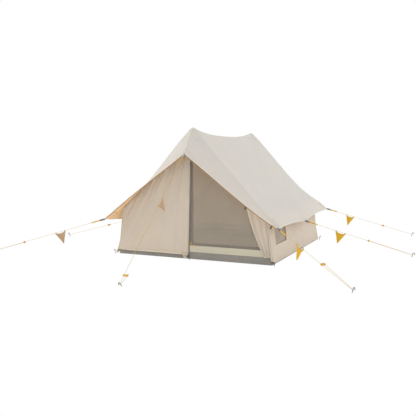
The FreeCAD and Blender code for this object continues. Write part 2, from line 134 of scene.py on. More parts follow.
def end_hood(s, r, sag):
    """Front right half of an end hood: s from the centre to the corner, r from the seam to the hem."""
    p = seam(s) * (1 - r) + hem(s, sag) * r
    return V((p.x, p.y, p.z - 0.014 * math.sin(math.pi * r) * math.sin(math.pi * min(s, 1.0))))


def rise_of(sx):
    return EAVE_RISE if sx > 0 else -EAVE_DROP


def sag_of(sx, sy):
    """The front right hem sags, the tighter front left one arches a little. sy is -1 at the front."""
    if sy > 0:
        return 0.0
    return HEM_SAG if sx > 0 else -HEM_ARCH


def height(x, y):
    """Height of the canopy's upper face over a point."""
    rise, sag = rise_of(x), sag_of(x, y)
    x, y = abs(x), -abs(y)
    best = None
    for fn, a, b in ((lambda u, v: roof(u, v, rise), 0.1, 0.6), (lambda s, r: end_hood(s, r, sag), 0.5, 0.2)):
        for _ in range(40):
            p = fn(a, b)
            ex, ey = x - p.x, y - p.y
            if abs(ex) + abs(ey) < 1e-5:
                break
            pa = (fn(a + 1e-4, b) - p) * 1e4
            pb = (fn(a, b + 1e-4) - p) * 1e4
            det = pa.x * pb.y - pb.x * pa.y
            if abs(det) < 1e-9:
                break
            a = min(max(a + 0.8 * (ex * pb.y - pb.x * ey) / det, 0.0), 1.0)
            b = min(max(b + 0.8 * (pa.x * ey - ex * pa.y) / det, 0.0), 1.0)
        p = fn(a, b)
        if abs(p.x - x) + abs(p.y - y) < 0.002:
            best = p.z if best is None else min(best, p.z)
    return best if best is not None else EAVE_MID_Z


def wall_x(z):
    return lerp(WALL_X0, WALL_X1, z / WALL_TOP)


def zip_x(z):
    """X of the closed outer door's free edge at a height."""
    return -lerp(ZIP_FOOT_X, ZIP_TOP_X, min((z - DOOR_FOOT) / (DOOR_TOP - DOOR_FOOT), 1.0))


# ---------------------------------------------------------------- materials

def srgb(r, g, b):
    def one(c):
        c /= 255.0
        return c / 12.92 if c <= 0.04045 else ((c + 0.055) / 1.055) ** 2.4
    return (one(r), one(g), one(b), 1.0)


class Tree:
    """A material's node tree, with one call per node."""

    def __init__(self, name):
        self.mat = bpy.data.materials.new(name)
        self.mat.use_nodes = True
        self.nt = self.mat.node_tree
        self.nt.nodes.clear()

    def add(self, kind, props=None, **inputs):
        n = self.nt.nodes.new(kind)
        for k, v in (props or {}).items():
            setattr(n, k, v)
        for k, v in inputs.items():
            key = int(k[1:]) if k[0] == "_" else k.replace("_", " ")
            if isinstance(v, bpy.types.NodeSocket):
                self.nt.links.new(v, n.inputs[key])
            else:
                n.inputs[key].default_value = v
        return n

    def math(self, op, a, b=0.0, clamp=False):
        return self.add("ShaderNodeMath", {"operation": op, "use_clamp": clamp}, _0=a, _1=b).outputs[0]

    def mix(self, fac, a, b, how="MIX"):
        n = self.add("ShaderNodeMix", {"data_type": "RGBA", "blend_type": how}, _0=fac, _6=a, _7=b)
        return n.outputs[2]

    def remap(self, x, a, b, c, d):
        return self.add("ShaderNodeMapRange", None, Value=x, From_Min=a, From_Max=b, To_Min=c,
                        To_Max=d).outputs[0]

    def coords(self, kind):
        return self.add("ShaderNodeTexCoord").outputs[kind]

    def noise(self, at, scale, detail=3.0, rough=0.5):
        return self.add("ShaderNodeTexNoise", None, Vector=at, Scale=scale, Detail=detail,
                        Roughness=rough).outputs[0]

    def wave(self, at, pitch, axis="X", distort=0.0):
        bands = 0.31416 / pitch   # at scale 1 a band is 2 pi / 20 = 0.31416 long
        n = self.add("ShaderNodeTexWave", {"bands_direction": axis}, Vector=at, Scale=bands,
                     Distortion=distort)
        return n.outputs["Fac"]

    def scaled(self, colour, by):
        return self.add("ShaderNodeVectorMath", {"operation": "SCALE"}, Vector=colour, Scale=by).outputs[0]

    def bump(self, strength, depth, height, **more):
        return self.add("ShaderNodeBump", None, Strength=strength, Distance=depth, Height=height,
                        **more).outputs[0]

    def principled(self, base, rough, bump):
        return self.add("ShaderNodeBsdfPrincipled", None, Base_Color=base, Roughness=rough, Normal=bump)

    def blended(self, share, a, b):
        return self.out(self.add("ShaderNodeMixShader", None, _0=share, _1=a.outputs[0],
                                 _2=b.outputs[0]).outputs[0])

    def out(self, shader):
        self.add("ShaderNodeOutputMaterial", None, Surface=shader)
        return self.mat


def weave_of(t, at, pitch):
    """Plain weave: warp and weft over and under each other, with uneven yarns."""
    wander = t.noise(at, 60.0, 2.0)
    shifted = t.add("ShaderNodeVectorMath", {"operation": "MULTIPLY_ADD"}, _0=wander, _1=(pitch * 1.2,) * 3,
                    _2=at).outputs[0]
    warp = t.wave(shifted, pitch, "X")
    weft = t.wave(shifted, pitch, "Y")
    crossing = t.math("MULTIPLY", warp, weft)
    return t.math("ADD", t.math("MULTIPLY", t.math("MAXIMUM", warp, weft), 0.7),
                  t.math("MULTIPLY", crossing, 0.3))


def canvas(name, colour, glow, share, pitch=0.0012, mottle=0.05, depth=0.0003, rough=(0.78, 0.95),
           wrinkle=0.0, stains=None):
    """Woven cotton. share is how much of the light comes through from behind, in the glow colour."""
    t = Tree(name)
    uv = t.coords("UV")
    weave = weave_of(t, uv, pitch)
    cloud = t.noise(uv, 2.3, 4.0, 0.55)
    slub = t.noise(t.add("ShaderNodeMapping", None, Vector=uv, Scale=(1.0, 9.0, 1.0)).outputs[0], 55.0, 3.0)
    tone = t.math("ADD", t.remap(cloud, 0.3, 0.7, 1.0 - mottle, 1.0 + mottle),
                  t.remap(slub, 0.3, 0.7, -0.022, 0.022))
    tone = t.math("MULTIPLY", tone, t.remap(weave, 0.0, 1.0, 0.93, 1.03))
    hue = t.mix(t.remap(t.noise(uv, 1.1, 2.0), 0.35, 0.65, 0.0, 1.0), colour,
                tuple(c * f for c, f in zip(colour, (1.0, 0.985, 0.955, 1.0))))
    base = t.scaled(hue, tone)
    if stains is not None:
        height_z = t.add("ShaderNodeSeparateXYZ", None, Vector=t.coords("Object")).outputs["Z"]
        low = t.math("MULTIPLY", t.remap(height_z, 0.0, 0.16, 1.0, 0.0),
                     t.remap(t.noise(uv, 9.0, 4.0), 0.4, 0.7, 0.0, 1.0), True)
        base = t.mix(t.math("MULTIPLY", low, 0.5), base, stains)
    roughness = t.remap(t.noise(uv, 40.0, 2.0), 0.3, 0.7, rough[0], rough[1])
    bump = t.bump(0.35, depth, weave)
    if wrinkle:
        crumple = t.noise(uv, 13.0, 4.0, 0.55)
        bump = t.bump(0.6, wrinkle, crumple, Normal=bump)
    front = t.principled(base, roughness, bump)
    front.inputs["Specular IOR Level"].default_value = 0.15
    front.inputs["Sheen Weight"].default_value = 0.12
    if share <= 0:
        return t.out(front.outputs[0])
    warm = t.mix(0.5, glow, base, "MULTIPLY")
    back = t.add("ShaderNodeBsdfTranslucent", None, Color=warm, Normal=bump)
    return t.blended(share, front, back)


def netting(name, colour, cover, pitch=0.0024):
    """Fine mosquito mesh: threads over a see-through gap."""
    t = Tree(name)
    uv = t.coords("UV")
    a = t.math("GREATER_THAN", t.wave(uv, pitch, "X"), 0.74)
    b = t.math("GREATER_THAN", t.wave(uv, pitch * 0.85, "Y"), 0.74)
    thread = t.math("MAXIMUM", a, b)
    cloud = t.remap(t.noise(uv, 3.0, 3.0), 0.3, 0.7, -0.03, 0.03)
    fac = t.math("ADD", t.remap(thread, 0.0, 1.0, cover - 0.16, cover + 0.17), cloud, True)
    base = t.scaled(colour[:3], t.remap(t.noise(uv, 90.0, 2.0), 0.3, 0.7, 0.92, 1.08))
    bump = t.bump(0.4, 0.0003, thread)
    rough = t.remap(t.noise(uv, 30.0), 0.3, 0.7, 0.6, 0.8)
    yarn = t.principled(base, rough, bump)
    clear = t.add("ShaderNodeBsdfTransparent")
    return t.blended(fac, clear, yarn)


def stitched(name, colour, glow=None, share=0.0, edge=0.0035, width=0.02, pitch=0.0012):
    """A sewn hem or seam strip: canvas with a row of stitches near each edge, U along it and V across it."""
    t = Tree(name)
    uv = t.coords("UV")
    split = t.add("ShaderNodeSeparateXYZ", None, Vector=uv)
    along, across = split.outputs["X"], split.outputs["Y"]
    near = t.math("MINIMUM", across, t.math("SUBTRACT", width, across))
    row = t.math("LESS_THAN", t.math("ABSOLUTE", t.math("SUBTRACT", near, edge)), 0.0007)
    dash = t.math("GREATER_THAN", t.math("FRACT", t.math("DIVIDE", along, 0.0045)), 0.32)
    stitch = t.math("MULTIPLY", row, dash)
    weave = weave_of(t, uv, pitch)
    cloud = t.remap(t.noise(uv, 12.0, 3.0), 0.3, 0.7, 0.95, 1.05)
    tone = t.math("MULTIPLY", cloud, t.remap(weave, 0.0, 1.0, 0.94, 1.03))
    base = t.scaled(colour[:3], tone)
    light = tuple(min(1.0, c * 1.25) for c in colour[:3]) + (1.0,)
    base = t.mix(t.math("MULTIPLY", stitch, 0.8), base, light)
    dimple = t.math("ADD", t.math("MULTIPLY", weave, 0.25),
                    t.math("SUBTRACT", t.math("MULTIPLY", stitch, 0.6), t.math("MULTIPLY", row, 0.8)))
    bump = t.bump(0.5, 0.0006, dimple)
    rough = t.remap(t.noise(uv, 40.0), 0.3, 0.7, 0.75, 0.92)
    front = t.principled(base, rough, bump)
    front.inputs["Specular IOR Level"].default_value = 0.15
    if not share:
        return t.out(front.outputs[0])
    back = t.add("ShaderNodeBsdfTranslucent", None, Color=glow, Normal=bump)
    return t.blended(share, front, back)


def webbing(name, colour, stripe):
    """Flat woven strap: diagonal ribs and darker edges. U along, V across."""
    t = Tree(name)
    uv = t.coords("UV")
    split = t.add("ShaderNodeSeparateXYZ", None, Vector=uv)
    ribs = t.wave(uv, 0.0016, "X")
    tilt = t.add("ShaderNodeCombineXYZ", None,
                 X=t.math("ADD", split.outputs["X"], t.math("ABSOLUTE", split.outputs["Y"]))).outputs[0]
    twill = t.wave(tilt, 0.0028, "X")
    line = t.math("GREATER_THAN", t.math("ABSOLUTE", split.outputs["Y"]), 0.0072)
    tone = t.math("MULTIPLY", t.remap(ribs, 0.0, 1.0, 0.86, 1.05),
                  t.remap(t.noise(uv, 50.0), 0.3, 0.7, 0.93, 1.07))
    base = t.scaled(t.mix(line, colour, stripe), tone)
    high = t.math("ADD", t.math("MULTIPLY", ribs, 0.5), t.math("MULTIPLY", twill, 0.5))
    bump = t.bump(0.6, 0.0004, high)
    rough = t.remap(t.noise(uv, 60.0), 0.3, 0.7, 0.55, 0.75)
    return t.out(t.principled(base, rough, bump).outputs[0])


def coated(name, colour, rough=(0.3, 0.45), metal=0.0, scuff=None, grain=900.0, depth=0.0001, mottle=0.06):
    """Plastic, coated or bare metal, with fine grain, scuffs and worn spots."""
    t = Tree(name)
    at = t.coords("Object")
    fine = t.noise(at, grain, 3.0)
    broad = t.noise(at, 14.0, 4.0, 0.6)
    worn = t.remap(t.noise(at, 85.0, 5.0, 0.65), 0.6, 0.75, 0.0, 1.0)
    base = t.scaled(colour[:3], t.remap(broad, 0.3, 0.7, 1.0 - mottle, 1.0 + mottle))
    if scuff:
        base = t.mix(t.math("MULTIPLY", worn, 0.45, True), base, scuff)
    roughness = t.math("ADD", t.remap(broad, 0.3, 0.7, rough[0], rough[1]), t.math("MULTIPLY", worn, 0.12),
                       True)
    bump = t.bump(0.3, depth, fine)
    n = t.principled(base, roughness, bump)
    n.inputs["Metallic"].default_value = metal
    return t.out(n.outputs[0])


def braided(name, colour, fleck, pitch=0.004):
    """Braided cord sheath, with a fleck yarn."""
    t = Tree(name)
    p = t.coords("Object")
    a = t.wave(t.add("ShaderNodeMapping", None, Vector=p, Rotation=(0.5, 0.6, 0.7)).outputs[0], pitch * 0.5,
               "X", 1.0)
    b = t.wave(t.add("ShaderNodeMapping", None, Vector=p, Rotation=(-0.5, -0.6, 0.7)).outputs[0], pitch * 0.5,
               "Y", 1.0)
    yarn = t.math("MAXIMUM", a, b)
    spots = t.remap(t.noise(p, 260.0, 2.0), 0.58, 0.64, 0.0, 1.0)
    tone = t.remap(yarn, 0.0, 1.0, 0.78, 1.05)
    base = t.scaled(t.mix(t.math("MULTIPLY", spots, 0.6, True), colour, fleck), tone)
    bump = t.bump(0.6, 0.0005, yarn)
    rough = t.remap(t.noise(p, 120.0), 0.3, 0.7, 0.65, 0.85)
    return t.out(t.principled(base, rough, bump).outputs[0])


ROOF = srgb(206, 205, 200)
# the walls' darker, warmer tone than the roof's is painted shade and painted through-light: the walls are the
# roof's cloth, in shade under the eaves and lit through from behind
SHADED_WALL = srgb(203, 193, 179)
GLOW = srgb(246, 214, 168)
MUSTARD = srgb(202, 160, 40)
TAN = srgb(178, 148, 118)
STEEL = srgb(70, 70, 73)

M = {
    "canopy": canvas("canopy_canvas", ROOF, GLOW, 0.22, mottle=0.02, wrinkle=0.0016),
    # the underside's warmer, more orange colour is painted light: it stands in for daylight glowing through
    # the canvas, which is the roof's cloth
    "underside_painted_glow": canvas("canopy_inner_face_painted_glow", srgb(236, 207, 163), GLOW, 0.30, mottle=0.02, wrinkle=0.0004),
    "hem": stitched("canopy_hem", srgb(212, 208, 198), GLOW, 0.15, width=0.022),
    "seam": stitched("canopy_seam", srgb(203, 199, 188), GLOW, 0.10, width=0.014, edge=0.0025),
    "patch": stitched("canopy_patch", srgb(203, 200, 190), GLOW, 0.18, width=0.2, edge=0.004),
    "wall": canvas("wall_canvas", SHADED_WALL, GLOW, 0.25, mottle=0.035, wrinkle=0.0025, stains=srgb(176, 158, 132)),
    "wall_hem": stitched("wall_hem", srgb(194, 182, 164), width=0.022),
    # painted shadow: a dark orange strip that stands in for the shade under each hood's hem
    "painted_hem_shadow": stitched("hem_painted_shadow_cloth", srgb(156, 114, 72), GLOW, 0.10, edge=0.003, width=0.014),
    "wall_edge": stitched("wall_edge", srgb(182, 168, 148), width=0.022),
    "sill": canvas("sill_canvas", srgb(186, 180, 161), GLOW, 0.1, mottle=0.04, wrinkle=0.002),
    "mesh": netting("mosquito_mesh", srgb(172, 162, 146), 0.52),
    "window": netting("window_mesh", srgb(163, 151, 136), 0.72),
    "floor": canvas("groundsheet_fabric", srgb(127, 124, 119), GLOW, 0.0, pitch=0.0009, mottle=0.06,
                    rough=(0.45, 0.62),
                    wrinkle=0.004, stains=srgb(112, 104, 95)),
    "tape": stitched("zip_tape", srgb(122, 114, 107), width=0.03, edge=0.004, pitch=0.0008),
    "teeth": coated("zip_teeth", srgb(150, 146, 140), (0.25, 0.4)),
    "slider": coated("zip_slider", srgb(96, 94, 92), (0.25, 0.4), 0.8, srgb(160, 156, 150)),
    "mustard_web": webbing("mustard_webbing", MUSTARD, srgb(186, 142, 30)),
    "grey_web": webbing("grey_webbing", srgb(104, 104, 108), srgb(80, 80, 84)),
    "pale_web": webbing("pale_webbing", srgb(176, 186, 198), srgb(150, 160, 176)),
    "mustard_cloth": canvas("pennant_mustard", MUSTARD, MUSTARD, 0.12, pitch=0.0008, mottle=0.04,
                            wrinkle=0.002),
    "tan_cloth": canvas("pennant_tan", TAN, TAN, 0.12, pitch=0.0008, mottle=0.04, wrinkle=0.002),
    "runner": coated("runner_plastic", srgb(186, 138, 40), (0.35, 0.5), scuff=srgb(206, 170, 90)),
    "pull": coated("pull_plastic", srgb(214, 172, 50), (0.35, 0.5), scuff=srgb(226, 196, 110)),
    "toggle": coated("toggle_plastic", srgb(58, 48, 40), (0.35, 0.5), scuff=srgb(104, 90, 76)),
    "steel": coated("peg_steel", STEEL, (0.45, 0.6), 0.3, srgb(60, 56, 52), mottle=0.12),
    "loop": braided("elastic_loop", srgb(226, 224, 218), srgb(196, 194, 188), 0.0022),
    "rope": braided("guy_rope", srgb(184, 154, 84), srgb(176, 132, 40)),
    "pole_low": coated("pole_lower", srgb(142, 108, 76), (0.32, 0.48), 0.5, srgb(176, 150, 118), grain=500.0),
    "pole_up": coated("pole_upper", srgb(150, 116, 84), (0.32, 0.48), 0.5, srgb(182, 156, 124), grain=500.0),
    "pole_end": coated("pole_plastic", srgb(46, 44, 42), (0.4, 0.55), scuff=srgb(88, 84, 80)),
}

# ---------------------------------------------------------------- mesh helpers


def new_object(name, mesh):
    o = bpy.data.objects.new(name, mesh)
    scene.collection.objects.link(o)
    return o


def facing(x, y, z):
    """For Build.grid: the way that the outer face looks."""
    way = V((x, y, z))
    return lambda c: way


class Build:
    """Collects grids of points into one mesh: a grid is a list of rows, and uvs has its shape, in metres."""

    def __init__(self, name):
        self.name = name
        self.bm = bmesh.new()
        self.uv = self.bm.loops.layers.uv.new("cloth")

    def grid(self, pts, uvs, face_to=None, mat=0, skip=None, close=False):
        bm = self.bm
        verts = [[bm.verts.new(p) for p in row] for row in pts]
        rows = len(verts) if close else len(verts) - 1
        for i in range(rows):
            k = (i + 1) % len(verts)
            for j in range(len(verts[0]) - 1):
                if skip and skip(i, j):
                    continue
                quad = [(i, j), (k, j), (k, j + 1), (i, j + 1)]
                c = sum((pts[a][b] for a, b in quad), V((0, 0, 0))) / 4
                n = (pts[k][j + 1] - pts[i][j]).cross(pts[i][j + 1] - pts[k][j])
                if face_to is not None and n.dot(face_to(c)) < 0:
                    quad.reverse()
                try:
                    f = bm.faces.new([verts[a][b] for a, b in quad])
                except ValueError:
                    continue
                f.smooth = True
                f.material_index = mat
                for loop, (a, b) in zip(f.loops, quad):
                    at_uv = uvs[a][b]
                    if close and a == 0 and i == rows - 1:
                        at_uv = (uvs[i][b][0] + uvs[1][b][0] - uvs[0][b][0], uvs[i][b][1])
                    loop[self.uv].uv = at_uv
        return self

    def done(self, mats, thick=0.0, weld=2e-5, inner=None, offset=-1.0, sharp=None):
        """Makes the object. thick gives the cloth its thickness, inner is the material of its far face."""
        bm = self.bm
        if weld:
            bmesh.ops.remove_doubles(bm, verts=bm.verts, dist=weld)
        bmesh.ops.dissolve_degenerate(bm, dist=1e-6, edges=bm.edges)
        loose = [v for v in bm.verts if not v.link_faces]
        bmesh.ops.delete(bm, geom=loose, context="VERTS")
        area = sum(f.calc_area() for f in bm.faces)
        if sharp:
            for e in bm.edges:
                if sharp(e):
                    e.smooth = False
        mesh = bpy.data.meshes.new(self.name)
        bm.to_mesh(mesh)
        bm.free()
        for m in mats:
            mesh.materials.append(m)
        o = new_object(self.name, mesh)
        if thick:
            s = o.modifiers.new("cloth", "SOLIDIFY")
            s.thickness = thick
            s.offset = offset
            if inner:
                mesh.materials.append(inner)
                s.material_offset = len(mats)
            apply_all(o)
        o["own_area"] = area
        return o


def apply_all(o):
    dg = bpy.context.evaluated_depsgraph_get()
    mesh = bpy.data.meshes.new_from_object(o.evaluated_get(dg), preserve_all_data_layers=True, depsgraph=dg)
    o.modifiers.clear()
    o.data = mesh


def spans(a, b, n):
    return [lerp(a, b, i / n) for i in range(n + 1)]


def sweep(name, mats, paths, r, sides=8, cap=True):
    """Round tubes of radius r along lists of points."""
    b = Build(name)
    for path in paths:
        pts = [V(p) for p in path]
        run = [0.0]
        for p, q in zip(pts, pts[1:]):
            run.append(run[-1] + (q - p).length)
        tan = [(pts[min(i + 1, len(pts) - 1)] - pts[max(i - 1, 0)]).normalized() for i in range(len(pts))]
        ref = V((0, 0, 1)) if abs(tan[0].z) < 0.9 else V((1, 0, 0))
        a = ref.cross(tan[0]).normalized()
        rings, uvs = [], []
        for i, (p, d) in enumerate(zip(pts, tan)):
            a = (a - d * a.dot(d)).normalized()
            c = d.cross(a)
            rings.append([p + (a * math.cos(2 * math.pi * k / sides) + c * math.sin(2 * math.pi * k / sides))
                          * r
                          for k in range(sides + 1)])
            uvs.append([(run[i], r * 6.283 * k / sides) for k in range(sides + 1)])
        b.grid(rings, uvs)
        if cap:
            for ring, sign in ((rings[0], -1), (rings[-1], 1)):
                vs = [b.bm.verts.new(p) for p in (ring[:-1] if sign > 0 else ring[:-1][::-1])]
                b.bm.faces.new(vs)
    bmesh.ops.remove_doubles(b.bm, verts=b.bm.verts, dist=1e-6)
    bmesh.ops.recalc_face_normals(b.bm, faces=b.bm.faces)
    return b.done(mats, weld=0)


def shade_cad(node, *mats):
    """Gives a CAD node its finish."""
    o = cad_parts[node]
    if not o.material_slots:
        o.data.materials.append(None)
    for i, s in enumerate(o.material_slots):
        s.link = "OBJECT"
        s.material = mats[min(i, len(mats) - 1)]


def piece(o, slot, *nodes, body="tent"):
    """Body and the CAD nodes that a new piece stands for. slot is not used."""
    if body:
        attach(o, body)
    if nodes:
        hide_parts(*nodes)
    return o


# ---------------------------------------------------------------- canopy

PULLS = []   # canopy point, direction into the cloth, folds, height, reach
for sx in (1, -1):
    for sy in (1, -1):
        PULLS.append((V((sx * EAVE_X, sy * 1.395, EAVE_Z)), V((-sx, -sy * 0.8, 0.0)).normalized(), 17.0,
                      0.0055, 0.30))
    PULLS.append((V((sx * EAVE_MID_X, 0.0, EAVE_MID_Z)), V((-sx, 0.0, 0.0)), 13.0, 0.0050, 0.24))
for sy in (1, -1):
    PULLS.append((V((0.0, sy * PEAK_Y, PEAK_Z)), V((0.0, -sy, 0.0)), 8.0, 0.0035, 0.22))
    PULLS.append((V((0.0, sy * TIP_Y, TIP_Z)), V((0.0, -sy, 0.0)), 11.0, 0.0040, 0.16))


def tension(p):
    """Height of the folds that run out from the canopy's pulling points."""
    h = 0.0
    for a, d, folds, high, reach in PULLS:
        r = (p - a).length
        if r > reach * 4:
            continue
        w = V((p.x - a.x, p.y - a.y, 0.0))
        angle = math.atan2(d.x * w.y - d.y * w.x, d.dot(w)) if w.length > 1e-6 else 0.0
        h += high * math.exp(-r / reach) * smooth(r / 0.07) * math.cos(folds * angle
            + 0.6 * math.sin(3.0 * angle))
    return h


def soft_peak(p):
    """How far the cloth rounds over the top of a pole."""
    drop = 0.0
    for sy in (1, -1):
        r = math.hypot(p.x, p.y - sy * PEAK_Y)
        drop += 0.90 * (math.sqrt(r * r + 0.012 ** 2) - r)
    return drop


def loft(p, pucker=0.0):
    """A canopy point with its folds: the smooth surface, the tension folds, and slack between."""
    y = abs(p.y)
    slack = (0.0030 * noise.noise(V((p.x * 1.6, y * 1.6, 3.1)))
             + 0.0012 * noise.noise(V((p.x * 6.0, y * 5.0, 9.4))))
    return V((p.x, p.y, p.z + tension(p) + slack + pucker - soft_peak(p)))


HIP_RUN = sum((seam((i + 1) / 40) - seam(i / 40)).length for i in range(40))


def hip_pucker(away, s):
    """Small gathers that a sewn seam draws up beside it."""
    swell = 0.5 + 0.5 * math.sin(9.0 * s + 1.0)
    return (0.0022 * swell * math.exp(-away / 0.05) * smooth(away / 0.012)
            * math.sin(2 * math.pi * s * HIP_RUN / 0.062))


def slope_at(u, v, sx):
    """A point of the right or left slope, with its folds, mirrored to the right."""
    p = roof(u, v, rise_of(sx))
    long = 2.0 * lerp(PEAK_Y, EAVE_Y, v)
    away = min(u, 1.0 - u) * long
    return loft(p, hip_pucker(away, v) + 0.0016 * math.sin(u * long / 0.034)
                * math.exp(-(1.0 - v) * 1.8 / 0.04))


def hood_at(s, r, sx, sy):
    """A point of one of the four half hoods, mirrored to the front right. sy is -1 at the front."""
    sag = sag_of(sx, sy)
    p = end_hood(s, r, sag)
    away = r * (hem(s, sag) - seam(s)).length
    return loft(p, hip_pucker(away, s))


def mirror(p, sx, sy):
    return V((p.x * sx, p.y * sy, p.z))


def rolled(n):
    """Shares from 0 to 1 that are closer together near both ends."""
    return [0.5 - 0.5 * math.cos(math.pi * i / n) for i in range(n + 1)]


SHARES = spans(0.0, 1.0, 84)


def make_canopy():
    b = Build("canopy")
    us = rolled(110)
    for sx in (1, -1):
        pts = [[mirror(slope_at(u, v, sx), sx, 1) for v in SHARES] for u in us]
        uvs = [[(lerp(-1.3, 1.3, u), 1.83 * v) for v in SHARES] for u in us]
        b.grid(pts, uvs, facing(0, 0, 1))
        for sy in (1, -1):
            rs = spans(0.0, 1.0, 26)
            pts = [[mirror(hood_at(s, r, sx, sy), sx, -sy) for r in rs] for s in SHARES]
            uvs = [[(sx * s * 1.82, r * 0.36) for r in rs] for s in SHARES]
            b.grid(pts, uvs, facing(0, 0, 1))

    def crease(e):
        on = []
        for v in e.verts:
            x, y = abs(v.co.x), -abs(v.co.y)
            s = x / EAVE_X
            on.append(s < 0.9995 and (x < 1e-6 or abs(seam(s).y - y) < 2e-4))
        return all(on)

    o = b.done([M["canopy"]], thick=0.0014, inner=M["underside_painted_glow"], sharp=crease)
    piece(o, "canopy", "roof_slope_right", "roof_slope_left", "front_hood_right", "front_hood_left",
          "back_hood_right", "back_hood_left")

    def strips(name, key, slot, parts, inner=None, nodes=(), lift=0.0009, thick=0.0012):
        """Strips and patches on the canopy: each part is a point function, its two ranges and its corner."""
        b = Build(name)
        for fn, a, c, sx, sy in parts:
            pts = [[mirror(fn(p, q), sx, -sy) + V((0, 0, lift)) for q in c] for p in a]
            uvs, run = [], 0.0
            for i, row in enumerate(pts):
                if i:
                    run += (row[0] - pts[i - 1][0]).length
                uvs.append([(run, (p - row[0]).length) for p in row])
            b.grid(pts, uvs, facing(0, 0, 1))
        return piece(b.done([M[key]], thick=thick, inner=inner), slot, *nodes)

    hems, seams, caps, points = [], [], [], []
    fine = spans(0.0, 1.0, 150)
    for sx in (1, -1):
        on_slope = lambda u, v, sx=sx: slope_at(u, v, sx)
        hems.append((on_slope, fine, spans(0.9877, 1.0005, 2), sx, -1))
        seams.append((on_slope, fine, spans(0.0012, 0.0088, 1), sx, -1))
        points.append((on_slope, spans(0.475, 0.525, 8), spans(0.93, 0.998, 6), sx, -1))
        for sy in (1, -1):
            on_hood = lambda s, r, sx=sx, sy=sy: hood_at(s, r, sx, sy)

            def at_hem(s, k, fn=on_hood, sag=sag_of(sx, sy)):
                return fn(s, 1.0 - 0.022 / max((hem(s, sag) - seam(s)).length, 0.022) * (1.0 - k))

            def at_hip(v, k, fn=on_slope):
                return fn(0.014 * k / (2.0 * lerp(PEAK_Y, EAVE_Y, v)) + 0.0004, v)

            hems.append((at_hem, fine[:-1], [0.0, 0.5, 1.003], sx, sy))
            seams.append((at_hip, fine[1:], [0.0, 0.5, 1.0], sx, sy))
            seams.append((lambda r, k, fn=on_hood: fn(0.007 * k / EAVE_X, r), spans(0.0, 0.985, 24),
                          [0.0, 1.0], sx, sy))
            caps.append((on_slope, spans(0.0, 0.05, 8), spans(0.0, 0.09, 10), sx, sy))
            caps.append((on_hood, spans(0.0, 0.09, 10), spans(0.0, 0.22, 8), sx, sy))
            points.append((on_hood, spans(0.0, 0.10, 10), spans(0.80, 0.998, 6), sx, sy))
            points.append((on_slope, spans(0.001, 0.05, 8), spans(0.91, 0.998, 8), sx, sy))
    # a dark strip hung under each hood's hem: painted shadow, where the hem shades the cloth below it
    b = Build("hood_hem_painted_shadow")
    for sx in (1, -1):
        for sy in (1, -1):
            rows, uvs, run, last = [], [], 0.0, None
            for s in spans(0.0, 0.985, 120):
                p = hood_at(s, 1.0, sx, sy)
                run += (p - last).length if last else 0.0
                last = p
                rows.append([mirror(p - V((0, 0.0010 * math.sin(math.pi * k), 0.0006 + 0.014 * k)), sx, -sy)
                             for k in HALVES])
                uvs.append([(run, 0.014 * k) for k in HALVES])
            b.grid(rows, uvs, facing(0, sy, 0))
    piece(b.done([M["painted_hem_shadow"]], thick=0.0010), "canopy_trim")
    o = strips("canopy_hems", "hem", "canopy_trim", hems, M["underside_painted_glow"])
    o = strips("canopy_seams", "seam", "canopy_trim", seams)
    o = strips("peak_cap_cloth", "patch", "canopy_trim", caps, nodes=["peak_caps"], lift=0.0012)
    o = strips("guy_point_cloth", "patch", "canopy_trim", points, M["underside_painted_glow"], ["guy_point_patches"],
               0.0011, 0.0034)


make_canopy()

# ---------------------------------------------------------------- walls and doors


FLARE = {1: 0.024, -1: 0.052}   # how far each side's corners are drawn out at the foot


def flare(z, sx):
    """How far the foot of a wall's corner is drawn out to its peg."""
    return FLARE[sx] * max(0.0, 1.0 - z / 0.26) ** 2.0


def fall(left, right, foot, y, n, m, gap=0.0042):
    """Points of an upright cloth between two edges, from its foot to just under the canopy.

    Each point is (x, z, share of the way across, share of the way up).
    """
    out = []
    for i in range(n + 1):
        a = i / n
        top = 1.2
        for _ in range(30):
            x = lerp(left(top), right(top), a)
            top = lerp(top, height(x, y) - gap, 0.7)
        row = []
        for j in range(m + 1):
            z = lerp(foot, top, j / m)
            row.append((lerp(left(z), right(z), a), z, a, j / m))
        out.append(row)
    return out


def crest(x, sharp=0.7):
    """A row of narrow fold crests with wide hollows between, 0 to 1."""
    return 1.0 - abs(math.sin(x)) ** sharp


def drape(x, z, seed):
    """Depth of the soft folds of a hung wall, 0 to 1: long folds that fan down and out from the peak."""
    fan = math.atan2(abs(x) + 0.06, 2.25 - z)
    r = math.hypot(abs(x) + 0.06, 2.25 - z)
    wobble = (0.020 * noise.noise(V((fan * 5.0, r * 1.1, seed)))
              + 0.006 * noise.noise(V((fan * 14.0, r * 2.6, seed + 3.0))))
    reach = smooth(1.15 * noise.noise(V((fan * 9.0, r * 0.9, seed + 5.0))) + 0.55)
    a = crest((fan + wobble) * 27.0 + seed, 0.9)
    b = crest((fan + 1.4 * wobble) * 56.0 + 2.0 * seed, 0.8)
    c = 0.5 + 0.5 * noise.noise(V((x * 3.0, z * 2.2, seed + 7.0)))
    d = crest((fan + 0.8 * wobble) * 103.0 + 3.0 * seed, 0.9) * smooth(2.0 * c - 0.5)
    return 0.40 * a * reach + 0.26 * b * lerp(1.0, reach, 0.6) + 0.20 * c + 0.14 * d


def hinge_band(a, c, half, into):
    """Start and end of a fold's bend: half a band either side of the line from a to c.

    into is a point on the moving side.
    """
    a, c, into = V(a), V(c), V(into)
    d = (c - a).normalized()
    mid = (a + c) / 2
    n = into - mid
    n = (n - d * n.dot(d)).normalized()
    return tuple(mid - n * half), tuple(mid + n * half)


